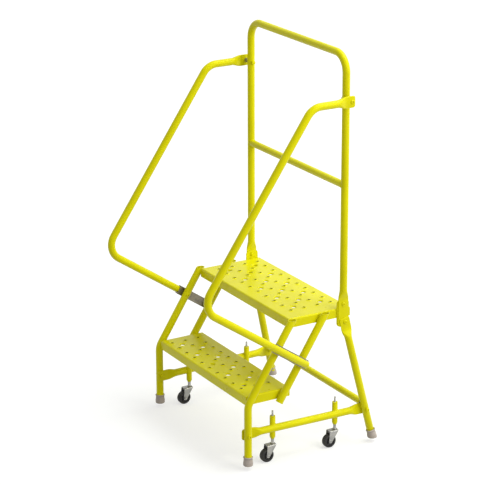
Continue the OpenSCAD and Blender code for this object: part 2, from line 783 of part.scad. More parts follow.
left() caster_axle(caster_rear);  // caster_axle_rear_left
caster_axle(caster_rear);  // caster_axle_rear_right
left() caster_hub(caster_front);  // caster_hub_front_left
caster_hub(caster_front);  // caster_hub_front_right
left() caster_hub(caster_rear);  // caster_hub_rear_left
caster_hub(caster_rear);  // caster_hub_rear_right
left() caster_tyre(caster_front);  // caster_tyre_front_left
caster_tyre(caster_front);  // caster_tyre_front_right
left() caster_tyre(caster_rear);  // caster_tyre_rear_left
caster_tyre(caster_rear);  // caster_tyre_rear_right
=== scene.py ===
"""Dresses the mobile ladder stand and lights it in a pale studio.

The ladder's solids arrive as the frame. Each sub-assembly below is a class that gives its solids
a finish and adds or replaces what a plain solid can't show: crushed tube ends, tread buttons,
weld beads, bolts, springs, casters and rubber feet. All lengths are in metres.
"""

from __future__ import annotations

import json
import logging
import math
from dataclasses import dataclass, field
from enum import Enum
from typing import Callable, Optional, Sequence

import bmesh
import bpy
from mathutils import Matrix, Vector


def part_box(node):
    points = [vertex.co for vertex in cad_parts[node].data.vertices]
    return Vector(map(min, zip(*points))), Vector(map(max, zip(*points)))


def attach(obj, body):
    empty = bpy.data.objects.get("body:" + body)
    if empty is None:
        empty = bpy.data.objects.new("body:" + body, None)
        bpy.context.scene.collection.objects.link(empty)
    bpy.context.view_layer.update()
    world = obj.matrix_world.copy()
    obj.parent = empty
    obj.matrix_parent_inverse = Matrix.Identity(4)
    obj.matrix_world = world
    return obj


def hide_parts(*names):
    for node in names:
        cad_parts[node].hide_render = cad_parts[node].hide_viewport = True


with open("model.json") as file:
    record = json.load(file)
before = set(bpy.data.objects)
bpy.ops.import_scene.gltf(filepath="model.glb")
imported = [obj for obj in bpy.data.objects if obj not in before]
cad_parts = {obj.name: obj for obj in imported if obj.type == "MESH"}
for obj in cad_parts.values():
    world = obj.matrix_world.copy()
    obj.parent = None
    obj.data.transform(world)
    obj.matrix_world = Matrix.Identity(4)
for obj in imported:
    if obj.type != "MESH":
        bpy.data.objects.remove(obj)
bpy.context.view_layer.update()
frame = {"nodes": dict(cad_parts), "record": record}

LOG = logging.getLogger("ladder_stand")
FRAME_BODY = "frame"

Colour = tuple[float, float, float]
Ring = list[Vector]


# ---------------------------------------------------------------------------------------------
# Named options
# ---------------------------------------------------------------------------------------------


class Side(Enum):
    """The ladder's two sides, seen by someone climbing it."""

    LEFT = "left"
    RIGHT = "right"

    @property
    def sign(self) -> int:
        """-1 for the left side and 1 for the right."""
        return -1 if self is Side.LEFT else 1


class Corner(Enum):
    """The four corners that carry a caster and a foot."""

    FRONT_LEFT = "front_left"
    FRONT_RIGHT = "front_right"
    REAR_LEFT = "rear_left"
    REAR_RIGHT = "rear_right"

    @property
    def side(self) -> Side:
        """The side of the ladder that this corner is on."""
        return Side.LEFT if self.value.endswith("left") else Side.RIGHT


class Slot(Enum):
    """Material slots of the record."""

    PAINT = "yellow_paint"
    ZINC = "zinc_plate"
    SPRING = "spring_steel"
    FOOT = "foot_rubber"
    TYRE = "tyre_rubber"
    WHEEL = "wheel_plastic"


# ---------------------------------------------------------------------------------------------
# Finishes
# ---------------------------------------------------------------------------------------------


def add_node(nodes: bpy.types.Nodes, kind: str, **values: float | tuple[float, ...]) -> bpy.types.Node:
    """Adds a shader node.

    Args:
        nodes: nodes of the tree.
        kind: type of the node.
        values: values of its sockets by name, with underscores for spaces.

    Returns:
        The node.
    """
    node = nodes.new(kind)
    for key, value in values.items():
        node.inputs[key.replace("_", " ")].default_value = value
    return node


class Shader:
    """A material under construction, with short calls for the nodes the finishes share."""

    def __init__(self, name: str) -> None:
        """Starts an empty material with a Principled shader.

        Args:
            name: name of the material.
        """
        self.material = bpy.data.materials.new(name)
        self.material.use_nodes = True
        self.nodes = self.material.node_tree.nodes
        self.links = self.material.node_tree.links
        self.bsdf = self.nodes["Principled BSDF"]
        self.place = self.nodes.new("ShaderNodeTexCoord").outputs["Object"]

    def set(self, **values: float | tuple[float, ...]) -> None:
        """Sets sockets of the shader by name, with underscores for spaces."""
        for key, value in values.items():
            self.bsdf.inputs[key.replace("_", " ")].default_value = value

    def noise(self, scale: float, detail: float = 2.0, rough: float = 0.5,
              stretch: Optional[tuple[float, float, float]] = None) -> bpy.types.NodeSocket:
        """A noise pattern fixed to the object.

        Args:
            scale: cells per metre.
            detail: number of finer layers.
            rough: strength of the finer layers.
            stretch: how far the pattern is scaled along each axis.

        Returns:
            The pattern's value, from 0 to 1.
        """
        where = self.place
        if stretch:
            mapping = add_node(self.nodes, "ShaderNodeMapping", Scale=stretch)
            self.links.new(where, mapping.inputs["Vector"])
            where = mapping.outputs["Vector"]
        node = add_node(self.nodes, "ShaderNodeTexNoise", Scale=scale, Detail=detail, Roughness=rough)
        self.links.new(where, node.inputs["Vector"])
        return node.outputs["Fac"]

    def ramp(self, value: bpy.types.NodeSocket,
             stops: Sequence[tuple[float, Colour]]) -> bpy.types.NodeSocket:
        """Turns a value into a colour.

        Args:
            value: socket with the value.
            stops: positions from 0 to 1 with their linear colours.

        Returns:
            The colour socket.
        """
        node = self.nodes.new("ShaderNodeValToRGB")
        elements = node.color_ramp.elements
        while len(elements) < len(stops):
            elements.new(0.5)
        for element, (position, colour) in zip(elements, stops):
            element.position = position
            element.color = (*colour, 1.0)
        self.links.new(value, node.inputs["Fac"])
        return node.outputs["Color"]

    def span(self, value: bpy.types.NodeSocket, low: float, high: float,
             start: float = 0.3, end: float = 0.7) -> bpy.types.NodeSocket:
        """Maps a pattern's values from start..end onto low..high.

        Args:
            value: socket with the pattern.
            low: result at start.
            high: result at end.
            start: value that gives low.
            end: value that gives high.

        Returns:
            The mapped value.
        """
        node = add_node(self.nodes, "ShaderNodeMapRange", From_Min=start, From_Max=end,
                        To_Min=low, To_Max=high)
        self.links.new(value, node.inputs["Value"])
        return node.outputs["Result"]

    def mix(self, factor: bpy.types.NodeSocket, first: bpy.types.NodeSocket | Colour,
            second: bpy.types.NodeSocket | Colour) -> bpy.types.NodeSocket:
        """Blends two colours.

        Args:
            factor: socket with the share of the second colour.
            first: colour or colour socket.
            second: colour or colour socket.

        Returns:
            The blended colour.
        """
        node = self.nodes.new("ShaderNodeMix")
        node.data_type = "RGBA"
        self.links.new(factor, node.inputs[0])
        for socket, colour in ((node.inputs[6], first), (node.inputs[7], second)):
            if isinstance(colour, bpy.types.NodeSocket):
                self.links.new(colour, socket)
            else:
                socket.default_value = (*colour, 1.0)
        return node.outputs[2]

    def bump(self, height: bpy.types.NodeSocket, depth: float, strength: float = 1.0,
             below: Optional[bpy.types.NodeSocket] = None) -> bpy.types.NodeSocket:
        """Raises the surface by a pattern.

        Args:
            height: socket with the pattern.
            depth: height of the pattern in metres.
            strength: share of the effect.
            below: normal that this one is laid over.

        Returns:
            The bumped normal.
        """
        node = add_node(self.nodes, "ShaderNodeBump", Distance=depth, Strength=strength)
        self.links.new(height, node.inputs["Height"])
        if below is not None:
            self.links.new(below, node.inputs["Normal"])
        return node.outputs["Normal"]

    def feed(self, socket: str, value: bpy.types.NodeSocket) -> None:
        """Links a value into a named socket of the shader."""
        self.links.new(value, self.bsdf.inputs[socket])


@dataclass(frozen=True)
class SafetyPaint:
    """Glossy safety-yellow powder coat with a faint orange peel."""

    body: Colour = (0.73, 0.68, 0.003)
    pale: Colour = (0.78, 0.73, 0.004)
    deep: Colour = (0.67, 0.615, 0.002)
    peel: float = 0.00006

    def material(self) -> bpy.types.Material:
        """Builds the paint."""
        shader = Shader(Slot.PAINT.value)
        shader.set(Metallic=0.0, IOR=1.5, Specular_IOR_Level=0.3, Coat_Weight=0.03,
                   Specular_Tint=(1.0, 0.96, 0.12, 1.0), Coat_Roughness=0.1, Coat_IOR=1.45)
        drift = shader.noise(7.0, 3.0)
        tone = shader.ramp(drift, ((0.25, self.deep), (0.5, self.body), (0.8, self.pale)))
        shader.feed("Base Color", tone)
        shader.feed("Roughness", shader.span(shader.noise(38.0, 4.0, 0.6), 0.26, 0.4))
        peel = shader.bump(shader.noise(420.0, 2.0), self.peel, 0.35)
        shader.feed("Normal", shader.bump(shader.noise(60.0, 1.0), 0.0002, 0.08, peel))
        return shader.material


@dataclass(frozen=True)
class ZincPlate:
    """Bright zinc plating on pressed steel."""

    body: Colour = (0.38, 0.375, 0.36)
    dull: Colour = (0.26, 0.26, 0.255)
    warm: Colour = (0.43, 0.40, 0.34)

    def material(self) -> bpy.types.Material:
        """Builds the plating."""
        shader = Shader(Slot.ZINC.value)
        shader.set(Metallic=0.85, IOR=1.5)
        tones = ((0.3, self.dull), (0.55, self.body), (0.8, self.warm))
        cloud = shader.ramp(shader.noise(55.0, 5.0, 0.65), tones)
        shader.feed("Base Color", cloud)
        shader.feed("Roughness", shader.span(shader.noise(160.0, 3.0), 0.3, 0.52))
        grain = shader.noise(900.0, 2.0, stretch=(1.0, 0.15, 1.0))
        shader.feed("Normal", shader.bump(grain, 0.00004, 0.3))
        return shader.material


@dataclass(frozen=True)
class SpringSteel:
    """Oiled dark spring wire."""

    body: Colour = (0.20, 0.20, 0.21)

    def material(self) -> bpy.types.Material:
        """Builds the wire's finish."""
        shader = Shader(Slot.SPRING.value)
        shader.set(Metallic=0.9, IOR=1.5)
        tone = shader.ramp(shader.noise(120.0, 4.0), ((0.3, (0.12, 0.12, 0.125)), (0.7, self.body)))
        shader.feed("Base Color", tone)
        shader.feed("Roughness", shader.span(shader.noise(300.0), 0.25, 0.45))
        return shader.material


@dataclass(frozen=True)
class Rubber:
    """Moulded rubber with a fine grain and a dusty bloom."""

    slot: Slot
    body: Colour
    bloom: Colour
    rough: tuple[float, float] = (0.6, 0.85)

    def material(self) -> bpy.types.Material:
        """Builds the rubber."""
        shader = Shader(self.slot.value)
        shader.set(Metallic=0.0, IOR=1.52, Specular_IOR_Level=0.3)
        dust = shader.span(shader.noise(45.0, 5.0, 0.65), 0.0, 0.6)
        shader.feed("Base Color", shader.mix(dust, self.body, self.bloom))
        shader.feed("Roughness", shader.span(shader.noise(140.0, 3.0), *self.rough))
        grain = shader.bump(shader.noise(1500.0, 2.0), 0.00008, 0.35)
        shader.feed("Normal", shader.bump(shader.noise(180.0, 2.0), 0.0002, 0.12, grain))
        return shader.material


@dataclass(frozen=True)
class WheelPlastic:
    """Black moulded nylon of the wheel's hub."""

    body: Colour = (0.018, 0.018, 0.019)

    def material(self) -> bpy.types.Material:
        """Builds the plastic."""
        shader = Shader(Slot.WHEEL.value)
        shader.set(Metallic=0.0, IOR=1.49, Specular_IOR_Level=0.45)
        tone = shader.ramp(shader.noise(90.0, 3.0), ((0.35, self.body), (0.75, (0.035, 0.034, 0.033))))
        shader.feed("Base Color", tone)
        shader.feed("Roughness", shader.span(shader.noise(220.0, 3.0), 0.35, 0.55))
        shader.feed("Normal", shader.bump(shader.noise(700.0), 0.00005, 0.25))
        return shader.material


@dataclass
class FinishShop:
    """Makes each finish once and puts it on solids and pieces."""

    made: dict[Slot, bpy.types.Material] = field(default_factory=dict)

    def __post_init__(self) -> None:
        """Builds every finish."""
        self.made = {
            Slot.PAINT: SafetyPaint().material(),
            Slot.ZINC: ZincPlate().material(),
            Slot.SPRING: SpringSteel().material(),
            Slot.FOOT: Rubber(Slot.FOOT, (0.44, 0.38, 0.34), (0.56, 0.50, 0.44)).material(),
            Slot.TYRE: Rubber(Slot.TYRE, (0.018, 0.018, 0.018), (0.05, 0.048, 0.046),
                              (0.45, 0.7)).material(),
            Slot.WHEEL: WheelPlastic().material(),
        }
        # Dark olive copy of the yellow paint for the tread holes' lips and inner walls: painted shade,
        # standing in for the shadow inside the holes.
        self.hole_shade_paint = SafetyPaint((0.15, 0.145, 0.006), (0.20, 0.19, 0.008),
                                   (0.10, 0.095, 0.004)).material()
        self.dull = ZincPlate((0.26, 0.235, 0.20), (0.17, 0.155, 0.13), (0.30, 0.26, 0.20)).material()

    def coat(self, piece: bpy.types.Object, slot: Slot, finish: Optional[bpy.types.Material] = None) -> None:
        """Gives a new piece the finish of a slot, or a variant of it, as its only material."""
        piece.data.materials.clear()
        piece.data.materials.append(finish or self.made[slot])

    def coat_node(self, node: str, slot: Slot, dull: bool = False) -> None:
        """Gives one of the frame's own solids its finish, or the dull form of the plating."""
        solid = frame["nodes"][node]
        finish = self.dull if dull else self.made[slot]
        if not solid.material_slots:
            solid.data.materials.append(finish)
        for held in solid.material_slots:
            held.material = finish


# ---------------------------------------------------------------------------------------------
# Studio
# ---------------------------------------------------------------------------------------------


@dataclass
class Studio:
    """Pale floor, soft lamps and the camera."""

    floor_size: float = 60.0
    floor_glow: tuple[float, float, float, float] = (0.9, 4.5, 0.58, 0.82)
    camera_place: tuple[float, float, float] = (5.8614, -3.4415, 3.0219)
    camera_azimuth: float = 59.572
    camera_drop: float = 18.747
    camera_roll: float = -0.182
    lens: float = 149.6
    ambient: float = 0.52

    def build(self) -> None:
        """Makes the floor, the world, the lamps and the camera."""
        self.make_floor()
        self.make_world()
        self.make_lamp("top_lamp", (0.8, 2.4, 4.9), 3.4, 190.0, (0.95, 1.0, 0.95))
        self.make_lamp("side_lamp", (4.6, 2.2, 2.6), 2.6, 115.0, (1.0, 0.97, 0.92))
        self.make_camera()

    def make_floor(self) -> None:
        """Lays a white floor that keeps the ladder's shadow."""
        half = self.floor_size / 2
        mesh = bpy.data.meshes.new("studio_floor")
        corners = [(-half, -half, 0), (half, -half, 0), (half, half, 0), (-half, half, 0)]
        mesh.from_pydata(corners, [], [(0, 1, 2, 3)])
        floor = bpy.data.objects.new("studio_floor", mesh)
        bpy.context.scene.collection.objects.link(floor)
        material = bpy.data.materials.new("floor_white")
        material.use_nodes = True
        nodes, links = material.node_tree.nodes, material.node_tree.links
        nodes.clear()
        out = nodes.new("ShaderNodeOutputMaterial")
        plain = add_node(nodes, "ShaderNodeBsdfDiffuse", Color=(0.5, 0.5, 0.5, 1.0))
        where = nodes.new("ShaderNodeNewGeometry")
        reach = nodes.new("ShaderNodeVectorMath")
        reach.operation = "LENGTH"
        links.new(where.outputs["Position"], reach.inputs[0])
        near, far, low, high = self.floor_glow
        spread = add_node(nodes, "ShaderNodeMapRange", From_Min=near, From_Max=far, To_Min=low, To_Max=high)
        links.new(reach.outputs["Value"], spread.inputs["Value"])
        share = nodes.new("ShaderNodeMath")
        share.operation = "MULTIPLY"
        links.new(self.seen_rays(nodes, links, 1.0), share.inputs[0])
        links.new(spread.outputs["Result"], share.inputs[1])
        glow = add_node(nodes, "ShaderNodeEmission", Color=(1.0, 1.0, 1.0, 1.0))
        both = nodes.new("ShaderNodeAddShader")
        links.new(share.outputs[0], glow.inputs["Strength"])
        links.new(plain.outputs[0], both.inputs[0])
        links.new(glow.outputs[0], both.inputs[1])
        links.new(both.outputs[0], out.inputs["Surface"])
        mesh.materials.append(material)

    def seen_rays(self, nodes: bpy.types.Nodes, links: bpy.types.NodeLinks,
                  strength: float, other: float = 0.0) -> bpy.types.NodeSocket:
        """A strength for rays that see the backdrop and another for rays that light the object.

        Args:
            nodes: nodes of the tree.
            links: links of the tree.
            strength: value for camera, glossy and transmitted rays.
            other: value for all other rays.

        Returns:
            The value's socket.
        """
        path = nodes.new("ShaderNodeLightPath")
        total = path.outputs["Is Camera Ray"]
        for name in ("Is Glossy Ray", "Is Transmission Ray"):
            either = nodes.new("ShaderNodeMath")
            either.operation = "MAXIMUM"
            links.new(total, either.inputs[0])
            links.new(path.outputs[name], either.inputs[1])
            total = either.outputs[0]
        scale = add_node(nodes, "ShaderNodeMapRange", To_Min=other, To_Max=strength)
        links.new(total, scale.inputs["Value"])
        return scale.outputs["Result"]

    def make_world(self) -> None:
        """Sets a white backdrop that lights the object more softly than it looks."""
        world = bpy.data.worlds.new("studio_world")
        bpy.context.scene.world = world
        world.use_nodes = True
        nodes, links = world.node_tree.nodes, world.node_tree.links
        back = nodes["Background"]
        back.inputs["Color"].default_value = (1.0, 1.0, 1.0, 1.0)
        links.new(self.seen_rays(nodes, links, 1.0, self.ambient), back.inputs["Strength"])

    def make_lamp(self, name: str, place: tuple[float, float, float], size: float, watts: float,
                  tint: Colour) -> None:
        """Hangs a square lamp aimed at the ladder's middle.

        Args:
            name: name of the lamp.
            place: where it hangs.
            size: its width.
            watts: its power.
            tint: colour of its light.
        """
        data = bpy.data.lights.new(name, "AREA")
        data.size = size
        data.energy = watts
        data.color = tint
        lamp = bpy.data.objects.new(name, data)
        lamp.location = place
        aim = Vector((0.0, 0.0, 0.6)) - Vector(place)
        lamp.rotation_euler = aim.to_track_quat("-Z", "Y").to_euler()
        bpy.context.scene.collection.objects.link(lamp)

    def make_camera(self) -> None:
        """Places the camera and makes it the scene's own."""
        data = bpy.data.cameras.new("camera")
        data.lens = self.lens
        data.sensor_width = 36.0
        camera = bpy.data.objects.new("camera", data)
        turn = (Matrix.Rotation(math.radians(self.camera_azimuth), 4, "Z")
                @ Matrix.Rotation(math.radians(90.0 - self.camera_drop), 4, "X")
                @ Matrix.Rotation(math.radians(self.camera_roll), 4, "Z"))
        camera.matrix_world = Matrix.Translation(self.camera_place) @ turn
        bpy.context.scene.collection.objects.link(camera)
        bpy.context.scene.camera = camera
        bpy.context.scene.view_settings.view_transform = "Standard"


# ---------------------------------------------------------------------------------------------
# Shapes
# ---------------------------------------------------------------------------------------------


def smooth(value: float) -> float:
    """Eases 0..1 so that it starts and ends level."""
    value = min(1.0, max(0.0, value))
    return value * value * (3.0 - 2.0 * value)


def axes(origin: Vector, z_axis: Vector, x_hint: Vector) -> Matrix:
    """Axes at a point whose z runs along one direction and whose x leans to another.

    Args:
        origin: the point.
        z_axis: direction of z.
        x_hint: direction near x.

    Returns:
        The placing matrix.
    """
    z = z_axis.normalized()
    x = (x_hint - x_hint.dot(z) * z).normalized()
    return Matrix.Translation(origin) @ Matrix((x, z.cross(x), z)).transposed().to_4x4()


def hex_radius(across: float, cut: float = 1.0) -> Callable[[float], float]:
    """Radius of a hexagon at every angle.

    Args:
        across: width across its flats.
        cut: radius that its corners are turned down to, as a share of the corner's own.

    Returns:
        The function of the angle.
    """
    def radius(angle: float) -> float:
        """Radius at an angle."""
        turn = (angle % (math.pi / 3)) - math.pi / 6
        return min(across / 2 / math.cos(turn), cut * across / 2 / math.cos(math.pi / 6))
    return radius


@dataclass
class Shape:
    """Mesh of one piece, gathered from turned, drawn and pressed forms."""

    points: list[Vector] = field(default_factory=list)
    faces: list[tuple[int, ...]] = field(default_factory=list)

    def rings(self, rings: Sequence[Ring], first: bool = True, last: bool = True) -> None:
        """Skins a row of rings that all have the same number of points.

        Args:
            rings: the rings in order.
            first: whether the first ring is closed by a face.
            last: whether the last ring is closed by a face.
        """
        start, count = len(self.points), len(rings[0])
        for ring in rings:
            self.points.extend(ring)
        for row in range(len(rings) - 1):
            low = start + row * count
            for i in range(count):
                j = (i + 1) % count
                self.faces.append((low + i, low + j, low + count + j, low + count + i))
        if first:
            self.faces.append(tuple(reversed(range(start, start + count))))
        if last:
            low = start + (len(rings) - 1) * count
            self.faces.append(tuple(range(low, low + count)))

    def turned(self, profile: Sequence[tuple[float | Callable[[float], float], float]], place: Matrix,
               segments: int = 32, first: bool = True, last: bool = True) -> None:
        """Turns a profile round the z axis of a place.

        Args:
            profile: radius, or radius as a function of the angle, and height of each point.
            place: where the axis stands.
            segments: number of steps in a full turn.
            first: whether the start is closed by a face.
            last: whether the end is closed by a face.
        """
        rows = []
        for size, height in profile:
            ring = []
            for angle in (math.tau * i / segments for i in range(segments)):
                radius = size(angle) if callable(size) else size
                ring.append(place @ Vector((radius * math.cos(angle), radius * math.sin(angle), height)))
            rows.append(ring)
        self.rings(rows, first, last)

    def bead(self, line: Sequence[Vector], radius: float, ripple: float = 0.0025, sides: int = 8) -> None:
        """Lays a rippled weld bead along a line.

        Args:
            line: points of the bead's centre.
            radius: radius of the bead.
            ripple: length of one ripple.
            sides: number of sides of the bead's section.
        """
        rows, run = [], 0.0
        for i, point in enumerate(line):
            ahead = (line[min(i + 1, len(line) - 1)] - line[max(i - 1, 0)]).normalized()
            hint = Vector((0.3, 0.5, 0.8)) if abs(ahead.z) < 0.7 else Vector((0.8, 0.5, 0.1))
            place = axes(point, ahead, hint)
            ends = min(1.0, 0.35 + 0.35 * min(i, len(line) - 1 - i))
            size = radius * ends * (1.0 + 0.16 * math.cos(math.tau * run / ripple))
            rows.append([place @ Vector((size * math.cos(a), size * math.sin(a), 0.0))
                         for a in (math.tau * k / sides for k in range(sides))])
            if i + 1 < len(line):
                run += (line[i + 1] - point).length
        self.rings(rows)

    def make(self, name: str, body: str, *nodes: str, crease: float = 38.0) -> bpy.types.Object:
        """Turns the gathered mesh into a piece that rides on a body.

        Args:
            name: name of the piece.
            body: body that carries it.
            nodes: solids that it replaces.
            crease: angle in degrees above which an edge stays sharp.

        Returns:
            The piece.
        """
        mesh = bpy.data.meshes.new(name)
        mesh.from_pydata([tuple(p) for p in self.points], [], self.faces)
        net = bmesh.new()
        net.from_mesh(mesh)
        bmesh.ops.remove_doubles(net, verts=net.verts, dist=1e-6)
        bmesh.ops.recalc_face_normals(net, faces=net.faces)
        net.to_mesh(mesh)
        net.free()
        mesh.shade_smooth()
        mesh.set_sharp_from_angle(angle=math.radians(crease))
        piece = bpy.data.objects.new(name, mesh)
        bpy.context.scene.collection.objects.link(piece)
        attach(piece, body)
        if nodes:
            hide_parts(*nodes)
        LOG.info("%s: %d faces on %s", name, len(mesh.polygons), body)
        return piece


def between(first: Vector, last: Vector, step: float) -> list[Vector]:
    """Evenly spaced points of a straight line, about `step` apart."""
    count = max(3, round((last - first).length / step))
    return [first.lerp(last, i / count) for i in range(count + 1)]


@dataclass
class Run:
    """One straight or bent stretch of a tube's centreline."""

    length: float
    angle: float = 0.0


@dataclass
class Line:
    """Centreline of a bent tube that turns about one axis."""

    start: Vector
    heading: Vector
    axis: Vector
    runs: list[Run]

    @property
    def length(self) -> float:
        """Length along the centreline."""
        return sum(run.length for run in self.runs)

    def at(self, reach: float) -> tuple[Vector, Vector]:
        """Point and heading at a distance from the start.

        Args:
            reach: distance along the line.

        Returns:
            The point and the heading there.
        """
        point, heading = self.start.copy(), self.heading.copy()
        for run in self.runs:
            done = min(max(reach, 0.0), run.length) if run is not self.runs[-1] else reach
            if run.angle:
                radius = run.length / abs(run.angle)
                turn = run.angle * done / run.length
                arm = -self.axis.cross(heading) * math.copysign(radius, run.angle)
                spin = Matrix.Rotation(turn, 3, self.axis)
                point = point - arm + spin @ arm
                heading = spin @ heading
            else:
                point = point + heading * done
            reach -= run.length
            if reach <= 0.0:
                break
        return point, heading

    def marks(self) -> list[float]:
        """Distances at which the bends need a section."""
        out, reach = [], 0.0
        for run in self.runs:
            steps = max(4, round(abs(run.angle) / math.radians(5))) if run.angle else 1
            out += [reach + run.length * i / steps for i in range(steps + 1)]
            reach += run.length
        return out


@dataclass
class FlatEnd:
    """Tube end pressed flat round a bolt hole."""

    tail: float = 0.016
    flat: float = 0.022
    taper: float = 0.040
    corner: float = 0.009

    def marks(self) -> list[float]:
        """Distances from the tip at which the pressed end needs a section."""
        tip = [self.corner * (1 - math.cos(math.pi / 2 * i / 7)) for i in range(8)]
        low = self.tail + self.flat
        return tip + [low - 0.003] + [low + self.taper * i / 14 for i in range(15)]

    def section(self, reach: float, size: "Tube") -> tuple[float, float]:
        """Width and depth at a distance from the tip.

        Args:
            reach: distance from the tip.
            size: the tube's sizes.

        Returns:
            The width across the flat and the depth through it.
        """
        share = smooth((reach - self.tail - self.flat) / self.taper)
        depth = size.pad_depth + (size.diameter - size.pad_depth) * share
        width = size.pad_width + (size.diameter - size.pad_width) * share ** 1.3
        if reach < self.corner:
            width -= 2 * (self.corner - math.sqrt(max(0.0, self.corner ** 2 - (self.corner - reach) ** 2)))
            depth *= 0.55 + 0.45 * smooth(reach / 0.0015)
        return width, depth


@dataclass
class Tube:
    """Steel tube drawn along a line, with each end cut square or pressed flat."""

    line: Line
    first: Optional[FlatEnd] = None
    last: Optional[FlatEnd] = None
    broad: Optional[Vector] = None
    thin: Optional[Vector] = None
    twist: float = 0.0
    diameter: float = 0.027
    pad_width: float = 0.042
    pad_depth: float = 0.0034
    wall: float = 0.0017
    sides: int = 40

    def section(self, reach: float) -> tuple[float, float]:
        """Width and depth at a distance from the start."""
        width, depth = self.diameter, self.diameter
        for end, distance in ((self.first, reach), (self.last, self.line.length - reach)):
            if end and distance < end.tail + end.flat + end.taper:
                width, depth = end.section(max(0.0, distance), self)
        return width, depth

    def ring(self, reach: float, size: Optional[float] = None) -> Ring:
        """Outline of the tube at a distance from the start.

        Args:
            reach: distance along the line.
            size: diameter in place of the tube's own section.

        Returns:
            The outline's points.
        """
        point, heading = self.line.at(reach)
        if self.thin is not None:
            thin = (self.thin - self.thin.dot(heading) * heading).normalized()
            broad = thin.cross(heading)
        else:
            broad = self.broad
            thin = heading.cross(broad).normalized()
        if self.twist:
            spin = Matrix.Rotation(self.twist * smooth(reach / self.line.length), 3, heading)
            broad, thin = spin @ broad, spin @ thin
        width, depth = (size, size) if size else self.section(reach)
        spare = (width - depth) / 2
        out = []
        for i in range(self.sides):
            angle = math.tau * (i + 0.5) / self.sides
            across = math.cos(angle) * depth / 2 + math.copysign(spare, math.cos(angle))
            out.append(point + broad * across + thin * (math.sin(angle) * depth / 2))
        return out

    def shape(self) -> Shape:
        """Skins the tube, and hollows each end that is cut square."""
        total = self.line.length
        marks = set(self.line.marks()) | {0.0, total}
        if self.first:
            marks |= set(self.first.marks())
        if self.last:
            marks |= {total - mark for mark in self.last.marks()}
        order: list[float] = []
        for mark in sorted(m for m in marks if -1e-9 <= m <= total + 1e-9):
            if not order or mark - order[-1] > 2e-5:
                order.append(mark)
        rows = [self.ring(mark) for mark in order]
        inner, lip, deep = self.diameter - 2 * self.wall, 0.0004, 0.05
        if not self.first:
            rows[0] = self.ring(0.0, self.diameter - lip)
            rows = [self.ring(deep, inner), self.ring(lip, inner), self.ring(0.0, inner + lip),
                    rows[0], self.ring(lip)] + rows[1:]
        if not self.last:
            rows = rows[:-1] + [self.ring(total - lip), self.ring(total, self.diameter - lip),
                                self.ring(total, inner + lip), self.ring(total - lip, inner),
                                self.ring(total - deep, inner)]
        out = Shape()
        out.rings(rows)
        return out


# ---------------------------------------------------------------------------------------------
# Setting out
# ---------------------------------------------------------------------------------------------


def centre_of(node: str) -> Vector:
    """Middle of a solid's box."""
    low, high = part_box(node)
    return (low + high) / 2


